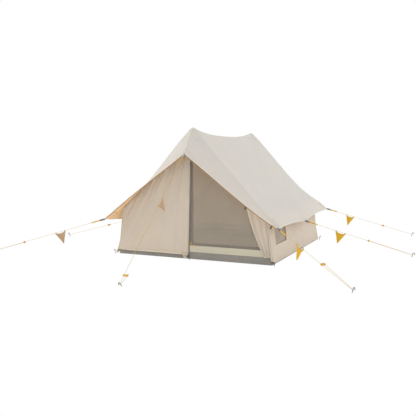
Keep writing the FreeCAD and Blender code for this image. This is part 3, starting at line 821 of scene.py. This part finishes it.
def wall_sheet(name, rows, depth, y, sy, mat, thick=0.0012):
    """Cloth from fall() rows. depth gives how far each point stands out from the plane y."""
    b = Build(name)
    pts = [[V((x, sy * (y + depth(x, z, a, t)), z)) for x, z, a, t in row] for row in rows]
    uvs = [[(x, z) for x, z, a, t in row] for row in rows]
    b.grid(pts, uvs, facing(0, sy, 0))
    return b.done([M[mat]], thick=thick)


def fade(x, z, a, t, foot_free=0.35):
    """1 in the open cloth, less at the edges that are sewn or zipped."""
    return smooth(min(a, 1.0 - a) / 0.10) * smooth((1.0 - t) / 0.08) * lerp(foot_free, 1.0, smooth(t / 0.12))


def band(name, line, wide, y, thick, mat, slot, body, face=-1, nodes=()):
    """Flat strip in an upright plane: line is a list of (x, z, ax, az) with the way across."""
    b = Build(name)
    rows, uvs, run = [], [], 0.0
    prev = None
    for x, z, ax, az in line:
        if prev is not None:
            run += math.hypot(x - prev[0], z - prev[1])
        prev = (x, z)
        rows.append([V((x + ax * wide * k, y, z + az * wide * k)) for k in HALVES])
        uvs.append([(run, wide * k) for k in HALVES])
    b.grid(rows, uvs, facing(0, face, 0))
    o = b.done([M[mat]], thick=thick)
    return piece(o, slot, *nodes, body=body)


def teeth_along(name, a, b, pitch, size, body, slot="zip_tape"):
    """A coil zip's teeth from a to b, as one mesh of small rounded links."""
    a, b = V(a), V(b)
    run = (b - a).length
    d = (b - a) / run
    out = V((0, -1, 0)) if a.y < 0 else V((0, 1, 0))
    side = d.cross(out)
    bm = bmesh.new()
    uv = bm.loops.layers.uv.new("cloth")
    for i in range(int(run / pitch)):
        c = a + d * (pitch * (i + 0.5))
        w, h, t = size
        ring = []
        for p, q in ((-1, 0), (-0.62, 0.8), (0.62, 0.8), (1, 0), (0.62, -0.4), (-0.62, -0.4)):
            lean = d * (pitch * 0.16 * p)
            ring.append([bm.verts.new(c + side * (w / 2 * p) + out * (h / 2 * (q + 0.4)) + lean
                                      + d * (t / 2 * e)) for e in (-1, 1)])
        for k in range(6):
            n = ring[(k + 1) % 6]
            f = bm.faces.new((ring[k][0], ring[k][1], n[1], n[0]))
            f.smooth = False
        bm.faces.new([r[0] for r in ring[::-1]])
        bm.faces.new([r[1] for r in ring])
    bmesh.ops.recalc_face_normals(bm, faces=bm.faces)
    for f in bm.faces:
        for loop in f.loops:
            loop[uv].uv = (loop.vert.co.x, loop.vert.co.z)
    mesh = bpy.data.meshes.new(name)
    bm.to_mesh(mesh)
    bm.free()
    mesh.materials.append(M["teeth"])
    return piece(new_object(name, mesh), slot, body=body)


def edge_line(fx, z0, z1, n, ax):
    """A line up an edge, with the way across it."""
    return [(fx(z), z, ax, 0.0) for z in spans(z0, z1, n)]


def corner_x(z, sx):
    return sx * (wall_x(z) + 0.0005 + flare(z, sx))


def make_front():
    # left: fixed panel and door in one cloth
    rows = fall(lambda z: corner_x(z, -1), zip_x, HEM_FOOT, -WALL_Y, 92, 104)

    def out_left(x, z, a, t):
        return (0.0008 + 0.030 * fade(x, z, a, t, 0.6) * drape(x, z, 1.7) + 0.004 * smooth((0.14 - t) / 0.14)
                * (0.5 + 0.5 * math.sin(x * 17.0)))

    o = wall_sheet("front_left_canvas", rows, out_left, WALL_Y, -1, "wall")
    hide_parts("front_door_left", "front_wall_panels")
    s, e = hinge_band((-0.014, -WALL_Y, 1.38), (-1.105, -WALL_Y, 0.05), 0.040, (-0.05, -WALL_Y, 0.05))
    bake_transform(o)
    b = Build("front_door_hem")
    pts = [[V((x, -(WALL_Y + 0.0006 + out_left(x, z, 0.5, (z - HEM_FOOT) / 1.2)) - 0.0009, z))
            for z in spans(HEM_FOOT - 0.0005, HEM_FOOT + 0.0215, 2)]
           for x in spans(-1.045, -0.058, 90)]
    uvs = [[(x, z) for z in (0.0, 0.011, 0.022)] for x in spans(-1.045, -0.058, 90)]
    b.grid(pts, uvs, facing(0, -1, 0))
    piece(b.done([M["wall_hem"]], thick=0.0009), "wall_canvas", body="front_door")
    band("front_door_edge", edge_line(lambda z: zip_x(z) - HEM, HEM_FOOT + 0.0005, 1.32, 60, 1.0), HEM,
         -(WALL_Y + 0.0030), 0.0011,
         "wall_edge", "wall_canvas", "front_door")
    # the gathered tail of the door's free corner, drawn down towards its peg
    b = Build("door_foot_tail")
    pts, uvs = [], []
    for i in range(25):
        a = i / 24
        row = []
        for k in spans(0.0, 1.0, 14):
            wide = lerp(0.100, 0.046, smooth(k * 1.3)) * (1.0 + 0.35 * smooth(3.0 * k - 2.0))
            x = -0.098 + 0.020 * k + (a - 0.5) * wide
            fold = (0.0045 * smooth(k * 3.0) * math.sin(a * 19.0 + 2.0 * k)
                    + 0.003 * smooth(k * 3.0) * math.sin(a * 8.0 - 3.0 * k + 1.0))
            row.append(V((x, -(WALL_Y + 0.0075 + 0.026 * smooth(k * 1.2) + fold),
                          lerp(0.082, 0.010, k) + 0.004 * math.sin(a * 9.0) * k)))
        pts.append(row)
        uvs.append([(a * 0.07, 0.075 * k) for k in spans(0.0, 1.0, 14)])
    b.grid(pts, uvs, facing(0, -1, 0))
    o = piece(b.done([M["wall"]], thick=0.0012), "wall_canvas", body="front_door")
    # outer zip: tape behind the door's edge and its coil
    band("front_zip_tape", [(zip_x(z) - 0.006, z, 1.0, 0.0) for z in spans(0.054, 1.32, 60)], 0.021,
         -(WALL_Y - 0.0017), 0.0012,
         "tape", "zip_tape", "front_door", nodes=["door_zip_tape"])
    teeth_along("front_zip_teeth", (zip_x(0.056) + 0.0125, -(WALL_Y - 0.0005), 0.056),
                (zip_x(1.318) + 0.0125, -(WALL_Y - 0.0005), 1.318),
                0.0030, (0.0058, 0.0026, 0.0016), "front_door")
    # right: the narrow fixed strip that the open door is sewn to
    b = Build("front_right_canvas")
    pts, uvs = [], []
    for x in spans(0.03, WALL_X1 - 0.004, 90):
        top = height(x, -WALL_Y) - 0.0042
        pts.append([V((x, -WALL_Y, top - 0.026 * k)) for k in (1.0, 0.5, 0.0)])
        uvs.append([(x, top - 0.026 * k) for k in (1.0, 0.5, 0.0)])
    b.grid(pts, uvs, facing(0, -1, 0))
    pts, uvs = [], []
    top = height(WALL_X1 - 0.004, -WALL_Y) - 0.0042
    for z in spans(DOOR_FOOT, top, 50):
        x1 = min(corner_x(z, 1), WALL_X0 + 0.03)
        pts.append([V((lerp(x1 - 0.034, x1, k), -WALL_Y - 0.001 * math.sin(3.14 * k), z))
                    for k in (0.0, 0.33, 0.66, 1.0)])
        uvs.append([(k * 0.034, z) for k in (0.0, 0.33, 0.66, 1.0)])
    b.grid(pts, uvs, facing(0, -1, 0))
    o = piece(b.done([M["wall"]], thick=0.0012), "wall_canvas", "front_wall_panels")


def stowed_edges(t):
    """Free edge and sewn edge of the tied-back door, t from its foot to the hood tip."""
    if t < 0.42:
        k = t / 0.42
        free = V((lerp(1.052, 0.790, k) - 0.020 * math.sin(math.pi * k), 0, lerp(0.092, 0.765, k)))
        z = lerp(0.100, 0.600, k)
        sewn = V((wall_x(z) - 0.030 + 0.012 * math.sin(math.pi * k) * 0.3, 0, z))
        if k > 0.999:
            sewn = V((WALL_X1 - 0.024, 0, 0.600))
    else:
        k = (t - 0.42) / 0.58
        free = V((lerp(0.790, 0.062, k), 0, lerp(0.765, 1.560, k) - 0.012 * math.sin(math.pi * k)))
        x = lerp(WALL_X1 - 0.024, 0.064, k)
        sewn = V((x, 0, height(x, -(WALL_Y + 0.020)) - 0.010))
    return free, sewn


def make_stowed():
    b = Build("stowed_door_canvas")
    pts, uvs = [], []
    for t in spans(0.0, 1.0, 130):
        free, sewn = stowed_edges(t)
        wide = (sewn - free).length
        tied = math.exp(-((t - 0.42) / 0.10) ** 2)
        row, ur = [], []
        for a in spans(0.0, 1.0, 30):
            p = free.lerp(sewn, a)
            swing = a * 2.3 + 0.35 * math.sin(4.0 * t + 1.0)
            pleat = 0.5 - 0.5 * math.cos(2 * math.pi * swing)
            ruck = 0.5 + 0.5 * noise.noise(V((a * 3.0, t * 7.0, 4.4)))
            deep = 0.0250 * smooth(wide / 0.10) * lerp(0.55, 1.0, ruck) * (1.0 - 0.45 * tied)
            lip = 0.008 * math.exp(-a * wide / 0.018)
            y = -(WALL_Y + 0.0032 + max(deep * pleat * smooth((1.0 - a) / 0.12), lip))
            row.append(V((p.x, y, p.z)))
            ur.append((a * wide, t * 1.9))
        pts.append(row)
        uvs.append(ur)
    b.grid(pts, uvs, facing(0, -1, 0))
    o = piece(b.done([M["wall"]], thick=0.0014), "wall_canvas", "front_door_right_stowed")
    # its hem along the free edge
    b = Build("stowed_door_edge")
    pts, uvs, run, last = [], [], 0.0, None
    for t in spans(0.0, 0.985, 110):
        free, sewn = stowed_edges(t)
        across = (sewn - free).normalized()
        if last is not None:
            run += (free - last).length
        last = free
        pts.append([V((free.x, -(WALL_Y + 0.0122), free.z)) + across * (0.018 * k) + V((0, 0.004 * k, 0))
                    for k in HALVES])
        uvs.append([(run, 0.02 * k) for k in HALVES])
    b.grid(pts, uvs, facing(0, -1, 0))
    piece(b.done([M["wall_hem"]], thick=0.0009), "wall_canvas")


def make_back():
    for side, sx in (("right", 1), ("left", -1)):
        free = lambda z: sx * 0.0015
        rows = fall(lambda z: corner_x(z, sx), free, HEM_FOOT, WALL_Y, 84, 96)

        def out_back(x, z, a, t, sx=sx):
            return 0.0008 + 0.026 * fade(x, z, a, t, 0.6) * drape(x, z, 4.1 + sx)

        o = wall_sheet("back_%s_canvas" % side, rows, out_back, WALL_Y, 1, "wall")
        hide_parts("back_door_" + side, "back_wall_panels")
        s, e = hinge_band((sx * 0.002, WALL_Y, 1.38), (sx * 1.105, WALL_Y, 0.05), 0.040,
                          (sx * 0.05, WALL_Y, 0.05))
        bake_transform(o)
        band("back_%s_edge" % side, edge_line(lambda z: sx * 0.0245, HEM_FOOT + 0.0005, 1.30, 50, -sx), HEM,
             WALL_Y + 0.0030, 0.0011,
             "wall_edge", "wall_canvas", "back_door_" + side, face=1)
        band("back_%s_hem" % side,
             [(x, HEM_FOOT - 0.0005, 0.0, 1.0) for x in spans(sx * 0.03, sx * 1.02, 60)], HEM,
             WALL_Y + 0.0036, 0.0011,
             "wall_hem", "wall_canvas", "back_door_" + side, face=1)
    band("back_zip_tape", [(0.0140, z, -1.0, 0.0) for z in spans(0.054, 1.32, 40)], 0.0135, WALL_Y - 0.0017,
         0.0012,
         "tape", "zip_tape", "back_door_right", face=1)
    teeth_along("back_zip_teeth", (0.0036, WALL_Y + 0.0031, 0.054), (0.0036, WALL_Y + 0.0031, 1.32), 0.0030,
                (0.0058, 0.0026, 0.0016),
                "back_door_right")


def make_mesh():
    # right: the mesh door and the fixed mesh above it in one cloth
    rows = fall(lambda z: 0.0012, lambda z: wall_x(z) - 0.006, MESH_SILL, -MESH_Y, 70, 84)

    def out_mesh(x, z, a, t):
        return 0.0045 * fade(x, z, a, t, 0.2) * (drape(x, z, 8.3) - 0.4)

    o = wall_sheet("mesh_right_net", rows, out_mesh, MESH_Y, -1, "mesh", thick=0.0)
    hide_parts("mesh_door_right", "mesh_panels")
    s, e = hinge_band((0.001, -MESH_Y, 1.38), (0.990, -MESH_Y, 0.205), 0.035, (0.05, -MESH_Y, 0.25))
    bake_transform(o)
    rows = fall(lambda z: -0.0012, lambda z: -(wall_x(z) - 0.006), SILL_TOP + 0.002, -MESH_Y, 60, 70)
    o = wall_sheet("mesh_left_net", rows, out_mesh, MESH_Y, -1, "mesh", thick=0.0)
    piece(o, "mosquito_mesh", "mesh_panels")
    # zip tapes: fixed halves, then the door's
    y = -(MESH_Y + 0.0030)
    band("mesh_zip_tape_upright", [(-0.0200, z, 1.0, 0.0) for z in spans(SILL_TOP + 0.001, DOOR_TOP, 50)],
         0.0192, y, 0.0016,
         "tape", "zip_tape", "tent", nodes=["fixed_zip_tapes"])
    band("mesh_zip_tape_foot", [(x, SILL_TOP + 0.001, 0.0, 1.0) for x in spans(-0.0006, MESH_FOOT_X, 50)],
         0.0126, y, 0.0016,
         "tape", "zip_tape", "tent", nodes=["fixed_zip_tapes"])
    band("mesh_door_tape_upright", [(0.0012, z, 1.0, 0.0) for z in spans(MESH_SILL, 1.352, 50)], 0.0188, y,
         0.0016,
         "tape", "zip_tape", "mesh_door", nodes=["mesh_zip_tape_door"])
    band("mesh_door_tape_foot", [(x, MESH_SILL, 0.0, 1.0) for x in spans(0.0202, 0.955, 50)], 0.0180, y,
         0.0016,
         "tape", "zip_tape", "mesh_door", nodes=["mesh_zip_tape_door"])
    teeth_along("mesh_teeth_upright", (-0.0022, y - 0.0012, 0.212), (-0.0022, y - 0.0012, 1.36), 0.0030,
                (0.0052, 0.0024, 0.0016), "tent")
    teeth_along("mesh_teeth_foot", (0.022, y - 0.0012, 0.2020), (0.95, y - 0.0012, 0.2020), 0.0030,
                (0.0052, 0.0024, 0.0016), "tent")


WIN_Y0, WIN_Y1 = -1.020, -0.530   # window opening, front and back edge


def make_sides():
    y_end = WALL_Y - 0.0008
    marks = sorted(set(spans(-y_end, WIN_Y0, 12) + spans(WIN_Y0, WIN_Y1, 36) + spans(WIN_Y1, y_end, 130)))
    for side, sx in (("right", 1), ("left", -1)):
        def top_of(y):
            return height(sx * (WALL_X1 + 0.008), min(max(y, -1.215), 1.215)) - 0.0042

        def across(y, z, top):
            hang = smooth((z - 0.10) / (top - 0.16))
            g = math.sin(y * 74.0 + 1.3 * math.sin(y * 9.0)) + 0.6 * math.sin(y * 131.0
                + 2.0 * math.sin(y * 5.0 + sx))
            ease = smooth((WALL_Y - abs(y)) / 0.06)
            near = smooth(1.0 - (WALL_Y - abs(y)) / 0.22)
            belly = (0.010 * math.sin(math.pi * min(z / top, 1.0)) * ease
                     * (0.6 + 0.4 * math.sin(y * 2.3 + 1.0)))
            out = wall_x(z) + 0.0005 + flare(z, sx) * near
            return sx * (out + belly * 0.5 + 0.0062 * hang ** 1.2 * (g + 1.0) * ease)

        b = Build("side_%s_canvas" % side)
        low = spans(0.012, 0.240, 12)
        mid = spans(0.240, 0.450, 12)
        pts, uvs = [], []
        for y in marks:
            top = top_of(y)
            levels = low[:-1] + mid[:-1] + spans(0.450, top, 12)
            pts.append([V((across(y, z, top), y, z)) for z in levels])
            uvs.append([(y, z) for z in levels])

        def in_window(i, j):
            y = (marks[i] + marks[i + 1]) / 2
            return WIN_Y0 < y < WIN_Y1 and 12 <= j < 24

        b.grid(pts, uvs, facing(sx, 0, 0), skip=in_window)
        o = piece(b.done([M["wall"]], thick=0.0012), "wall_canvas", "side_wall_" + side)
        # window: net behind the opening and a facing round it
        b = Build("window_net_" + side)
        ys, zz = spans(WIN_Y0 - 0.012, WIN_Y1 + 0.012, 24), spans(0.228, 0.462, 12)
        pts = [[V((sx * (wall_x(z) - 0.0028 + 0.002 * math.sin(6.0 * (y + z))), y, z)) for z in zz]
               for y in ys]
        b.grid(pts, [[(y, z) for z in zz] for y in ys], facing(sx, 0, 0))
        o = piece(b.done([M["window"]]), "mosquito_mesh", "window_meshes")
        b = Build("window_facing_" + side)
        ring = [(y, 0.240, 0.0, -1.0) for y in spans(WIN_Y0, WIN_Y1, 20)[:-1]]
        ring += [(WIN_Y1, z, 1.0, 0.0) for z in spans(0.240, 0.450, 10)[:-1]]
        ring += [(y, 0.450, 0.0, 1.0) for y in spans(WIN_Y1, WIN_Y0, 20)[:-1]]
        ring += [(WIN_Y0, z, -1.0, 0.0) for z in spans(0.450, 0.240, 10)[:-1]]
        pts, uvs, run = [], [], 0.0
        for k, (y, z, ay, az) in enumerate(ring):
            if k in (0, 20, 30, 50):   # the frame's mitred corners
                ay = -1.0 if k in (0, 50) else 1.0
                az = -1.0 if k in (0, 20) else 1.0
            row = []
            for w in (0.0, 0.009, 0.018):
                yy, z2 = y + ay * w, z + az * w
                row.append(V((across(yy, z2, top_of(yy)) + sx * 0.0012, yy, z2)))
            pts.append(row)
            uvs.append([(run, 0.0), (run, 0.01), (run, 0.02)])
            run += 0.0255
        b.grid(pts, uvs, facing(sx, 0, 0), close=True)
        piece(b.done([M["wall_hem"]], thick=0.0010), "wall_canvas")
    # piping down each corner
    paths = []
    for sx in (1, -1):
        for sy in (1, -1):
            top = height(sx * (WALL_X1 + 0.004), sy * WALL_Y) - 0.004
            paths.append([(corner_x(z, sx) + sx * 0.0012, sy * (WALL_Y + 0.0014), z)
                          for z in spans(0.014, top, 40)])
    piece(sweep("corner_piping", [M["wall_hem"]], paths, 0.0026, 8), "wall_canvas")


def make_ground():
    b = Build("groundsheet_tub")
    xs, ys = spans(-1.158, 1.158, 64), spans(-1.228, 1.228, 68)

    def lie(x, y):
        return (0.0016 + 0.0030 * max(0.0, noise.noise(V((x * 3.3, y * 3.3, 1.0))))
                * smooth((1.10 - abs(x)) / 0.2) * smooth((1.18 - abs(y)) / 0.2))

    b.grid([[V((x, y, lie(x, y))) for y in ys] for x in xs], [[(x, y) for y in ys] for x in xs],
           facing(0, 0, 1))
    zs = [0.0016, 0.008, 0.018, 0.030, 0.042, 0.055, 0.068, 0.081, 0.092, 0.0995]

    def wave(k, z):
        return (0.0020 * math.sin(k * 11.0 + 2.0 * math.sin(k * 3.0)) * math.sin(math.pi * z / 0.1)
                + 0.0008 * math.sin(k * 37.0) * z / 0.1)

    for sy in (1, -1):
        pts, uvs = [], []
        for x in xs:
            row = []
            for z in zs:
                ease = smooth((1.158 - abs(x)) / 0.05)
                foot = 0.0105 * (1.0 - smooth(z / 0.046))
                xx = x * lerp(1.0, 1.142 / 1.158, smooth(z / 0.05))
                row.append(V((xx, sy * (1.2175 + foot + wave(x + sy, z) * ease * 0.6), z)))
            pts.append(row)
            uvs.append([(x, 1.3 + z) for z in zs])
        b.grid(pts, uvs, facing(0, sy, 0))
    for sx in (1, -1):
        pts, uvs = [], []
        for y in ys:
            row = []
            for z in zs:
                ease = smooth((1.228 - abs(y)) / 0.05)
                yy = y * lerp(1.0, 1.2175 / 1.228, smooth(z / 0.046))
                row.append(V((sx * lerp(1.158, 1.142, smooth(z / 0.05)) + sx * wave(y, z) * ease * 0.5, yy,
                              z)))
            pts.append(row)
            uvs.append([(y, 2.6 + z) for z in zs])
        b.grid(pts, uvs, facing(sx, 0, 0))
    o = piece(b.done([M["floor"]], thick=0.0010, weld=4e-4), "groundsheet_grey", "groundsheet")
    for name, sy in (("front", -1), ("back", 1)):
        b = Build("sill_%s_canvas" % name)
        xs2 = spans(-1.140, 1.140, 120)
        z2 = spans(0.0975, SILL_TOP, 10)
        pts = [[V((x, sy * (1.2192 + 0.0012 * math.sin(x * 23.0 + 2 * math.sin(x * 4.0))
                            * math.sin(math.pi * (z - 0.0975) / 0.0925)), z))
                for z in z2] for x in xs2]
        b.grid(pts, [[(x, z) for z in z2] for x in xs2], facing(0, sy, 0))
        o = piece(b.done([M["sill"]], thick=0.0010), "sill_canvas", "sill_bands")


make_front()
make_stowed()
make_back()
make_mesh()
make_sides()
make_ground()

# ---------------------------------------------------------------- guy lines

GUYS = [
    ("front", V((0, -TIP_Y, TIP_Z)), V((0, -3.030, 0)), 2.000, 0.795),
    ("front_right", V((EAVE_X, -EAVE_Y, EAVE_Z)), V((2.360, -2.285, 0)), 0.905, 0.401),
    ("front_left", V((-EAVE_X, -EAVE_Y, EAVE_Z)), V((-2.790, -2.230, 0)), 1.150, 0.560),
    ("side_right", V((EAVE_MID_X, 0, EAVE_MID_Z)), V((2.765, 0.143, 0)), 0.936, 0.451),
    ("side_left", V((-EAVE_MID_X, 0, EAVE_MID_Z)), V((-2.877, -0.140, 0)), 0.850, None),
    ("back_right", V((EAVE_X, EAVE_Y, EAVE_Z)), V((2.595, 2.318, 0)), 1.078, 0.356),
    ("back_left", V((-EAVE_X, EAVE_Y, EAVE_Z)), V((-2.595, 2.318, 0)), 1.000, 0.400),
    ("back", V((0, TIP_Y, TIP_Z)), V((0, 3.030, 0)), 1.860, 0.795),
]


def axes(anchor, peg):
    d = peg + V((0, 0, 0.032)) - anchor
    length = d.length
    d.normalize()
    side = V((0, 0, 1)).cross(d).normalized()
    down = d.cross(side).normalized()
    if down.z > 0:
        down = -down
    return d, side, down, length


def nurbs(name, points, bevel):
    curve = bpy.data.curves.new(name, "CURVE")
    curve.dimensions = "3D"
    curve.resolution_u = 16
    spline = curve.splines.new("NURBS")
    spline.points.add(len(points) - 1)
    for p, c in zip(spline.points, points):
        p.co = (*c, 1.0)
    spline.order_u = 3
    spline.use_endpoint_u = True
    curve.bevel_depth = bevel
    curve.bevel_resolution = 4
    return new_object(name, curve)


def spline_points(points):
    """The smooth line that the route's points make."""
    o = nurbs("route", points, 0.0)
    dg = bpy.context.evaluated_depsgraph_get()
    mesh = bpy.data.meshes.new_from_object(o.evaluated_get(dg))
    line = [v.co.copy() for v in mesh.vertices]
    curve = o.data
    bpy.data.objects.remove(o)
    bpy.data.curves.remove(curve)
    bpy.data.meshes.remove(mesh)
    return line


def knot(name, at, d, r):
    """An overhand knot: a cord wound on itself."""
    ref = V((0, 0, 1)) if abs(d.z) < 0.9 else V((1, 0, 0))
    a = ref.cross(d).normalized()
    c = d.cross(a)
    path = []
    for i in range(61):
        t = i / 60 * 2 * math.pi
        w = 1.0 + 0.45 * math.cos(3 * t)
        path.append(at + (a * math.cos(2 * t) + c * math.sin(2 * t)) * (r * 0.95 * w)
                    + d * (r * math.sin(3 * t)))
    return sweep(name, [M["rope"]], [path], r * 0.62, 8, cap=False)


def webbing_strip(b, path, normal, wide, u0=0.0):
    """A flat strap along points, with its face to normal."""
    rows, uvs, run = [], [], u0
    for i, p in enumerate(path):
        if i:
            run += (p - path[i - 1]).length
        d = (path[min(i + 1, len(path) - 1)] - path[max(i - 1, 0)]).normalized()
        across = d.cross(normal).normalized()
        rows.append([p + across * (wide * k) for k in (-0.5, -0.25, 0.0, 0.25, 0.5)])
        uvs.append([(run, wide * k) for k in (-0.5, -0.25, 0.0, 0.25, 0.5)])
    b.grid(rows, uvs, lambda c: normal)


def make_pennant(name, anchor, d, side, down, at, seed):
    wide, drop = 0.148, 0.178
    o = anchor + d * at
    b = Build("pennant_cloth_" + name)
    n, m = 22, 24
    pts, uvs = [], []
    for i in range(n + 1):
        a = i / n
        top = 0.007 + 0.0145 * 4 * a * (1 - a) * 0.5 + 0.007 * math.sin(math.pi * a) ** 2
        row, ur = [], []
        for j in range(m + 1):
            t = j / m
            x = lerp(a * wide, wide / 2, t)
            z = lerp(top, drop, t)
            free = smooth(t / 0.25)
            curl = (0.0060 * free * math.sin(3.2 * a + 3.5 * t + seed)
                    + 0.0030 * free * math.sin(9.0 * a - 4.0 * t + 2 * seed))
            row.append(o + d * x + down * z + side * (curl * (1.0 - 0.3 * t)))
            ur.append((x, z))
        pts.append(row)
        uvs.append(ur)
    b.grid(pts, uvs, lambda c: -side)
    flag = b.done([M["mustard_cloth"]], thick=0.0009, inner=M["tan_cloth"], weld=1e-5)
    piece(flag, "pennant_cloth", "pennant_" + name, body="pennant_" + name)
    b = Build("pennant_sleeves_" + name)
    for a0 in (0.002, wide - 0.016):
        rings, uvs = [], []
        for k in range(17):
            w = 2 * math.pi * k / 16
            r = 0.0046
            rings.append([o + d * (a0 + q) + side * (r * math.sin(w)) - down * (r * math.cos(w))
                          for q in (0.0, 0.004, 0.010, 0.014)])
            uvs.append([(q, r * w) for q in (0.0, 0.004, 0.010, 0.014)])
        b.grid(rings, uvs, lambda c, o=o: (c - o) - d * (c - o).dot(d))
        rows = [[o + d * (a0 + q) + down * z + side * 0.0003 for z in (0.0040, 0.012, 0.020, 0.026)]
                for q in (0.0, 0.005, 0.010, 0.014)]
        b.grid(rows, [[(q, z) for z in (0.0, 0.008, 0.016, 0.022)] for q in (0.0, 0.005, 0.010, 0.014)],
               lambda c: -side)
    sleeves = b.done([M["mustard_cloth"]], thick=0.0012, offset=1.0, weld=1e-5)
    piece(sleeves, "pennant_cloth", body="pennant_" + name)


def make_guys():
    straps, tabs, pale = Build("guy_strap_webbing"), Build("guy_tab_webbing"), Build("guy_tip_webbing")
    knots = []
    for index, (name, anchor, peg, run_at, pen_at) in enumerate(GUYS):
        d, side, down, end = axes(anchor, peg)
        hub = anchor + d * run_at
        hole2 = hub + side * HOLE_GAP
        turn_end = anchor + d * (end + 0.577 * LOOP_R) + side * 2 * LOOP_R
        lean = (hole2 - turn_end).normalized()
        tail = hole2 + lean * 0.015
        start = anchor + d * (STRAP + 0.0005)
        main = [start, anchor + d * (end - 0.024), anchor + d * (end + 0.577 * LOOP_R),
                anchor + d * (end + 1.155 * LOOP_R) + side * LOOP_R, turn_end, turn_end + lean * 0.024]
        line = spline_points(main)
        rope = nurbs("guy_rope_" + name, main, ROPE_D / 2)
        rope.data.materials.append(M["rope"])
        piece(rope, "rope", "guy_line_" + name)
        eye = knot("guy_knot_" + name, start + d * 0.006, d, 0.0042)
        piece(eye, "rope")
        back = [turn_end + lean * 0.024, turn_end.lerp(hole2, 0.5), tail]
        line = spline_points(back)
        leg = sweep("guy_return_" + name, [M["rope"]], [line], ROPE_D / 2, 8)
        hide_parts("guy_line_" + name)
        stop = knot("guy_stopper_" + name, tail - lean * 0.001, lean, 0.0040)
        piece(stop, "rope", body="runner_" + name)
        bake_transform(leg)
        # strap from the canopy: a dark tab sewn to the corner, then the coloured webbing with its folded end
        path = [anchor + d * lerp(-0.022, 0.054, k) + side * 0.0004 for k in spans(0, 1, 6)]
        webbing_strip(pale if name in ("front", "back") else tabs, path, side, 0.024)
        path = [anchor + d * lerp(0.040, STRAP - 0.004, k) - side * (0.0014 if k < 0.12 else 0.0004)
                for k in spans(0, 1, 16)]
        webbing_strip(straps, path, side, 0.018)
        path = [anchor + d * lerp(STRAP - 0.005, STRAP - 0.055, k) + side * 0.0016 for k in spans(0, 1, 8)]
        webbing_strip(straps, path, side, 0.018, 0.2)
        if pen_at is not None:
            make_pennant(name, anchor, d, side, down, pen_at, 1.3 * index)
        shade_cad("runner_" + name, M["runner"])
    piece(straps.done([M["mustard_web"]], thick=0.0014, offset=0.0), "webbing_mustard", "guy_straps")
    piece(tabs.done([M["grey_web"]], thick=0.0014, offset=0.0), "webbing_grey", "guy_tabs")
    piece(pale.done([M["pale_web"]], thick=0.0014, offset=0.0), "webbing_grey", "guy_tabs")


make_guys()

# ---------------------------------------------------------------- CAD nodes that stay, with their finishes

for node, key in (("door_toggles", "toggle"), ("floor_pegs", "steel"), ("floor_peg_loops", "loop"),
                  ("guy_pegs", "steel"),
                  ("pole_lower_sections", "pole_low"), ("pole_upper_sections", "pole_up"),
                  ("pole_ends", "pole_end"),
                  ("door_zip_slider", "slider"), ("mesh_zip_slider_upright", "pull"),
                  ("mesh_zip_slider_foot", "pull"),
                  ("back_zip_slider", "pull")):
    shade_cad(node, M[key])

# ---------------------------------------------------------------- floor and light

t = Tree("studio_floor")
grain = t.noise(t.coords("Object"), 40.0, 3.0)
diffuse = t.add("ShaderNodeBsdfDiffuse", None,
                Color=t.mix(grain, (0.90, 0.90, 0.90, 1.0), (0.94, 0.94, 0.94, 1.0)))
glow = t.add("ShaderNodeEmission", None, Color=(1.0, 1.0, 1.0, 1.0), Strength=0.55)
bounce = t.add("ShaderNodeAddShader", None, _0=diffuse.outputs[0], _1=glow.outputs[0])
# so that thin ropes aren't burnt out
plain = t.add("ShaderNodeEmission", None, Color=(1.0, 1.0, 1.0, 1.0), Strength=1.0)
seen = t.add("ShaderNodeLightPath").outputs["Is Camera Ray"]
t.blended(seen, bounce, plain)
bpy.ops.mesh.primitive_plane_add(size=240.0, location=(0, 0, -0.0006))
floor = bpy.context.object
floor.name = "studio_floor"
floor.data.materials.append(t.mat)

world = bpy.data.worlds.new("studio")
world.use_nodes = True
world.node_tree.nodes["Background"].inputs["Color"].default_value = (1.0, 1.0, 1.0, 1.0)
world.node_tree.nodes["Background"].inputs["Strength"].default_value = 1.0
scene.world = world


def area_light(name, at, target, size, power, colour):
    data = bpy.data.lights.new(name, "AREA")
    data.size = size
    data.energy = power
    data.color = colour
    o = bpy.data.objects.new(name, data)
    o.location = at
    o.rotation_euler = (V(target) - V(at)).to_track_quat("-Z", "Y").to_euler()
    scene.collection.objects.link(o)


area_light("right", (6.5, 4.5, 5.5), (0, 0, 0.8), 5.0, 200.0, (1.0, 0.99, 0.97))
area_light("left", (-5.6, -3.6, 7.2), (0, 0, 0.8), 5.0, 240.0, (1.0, 0.99, 0.97))
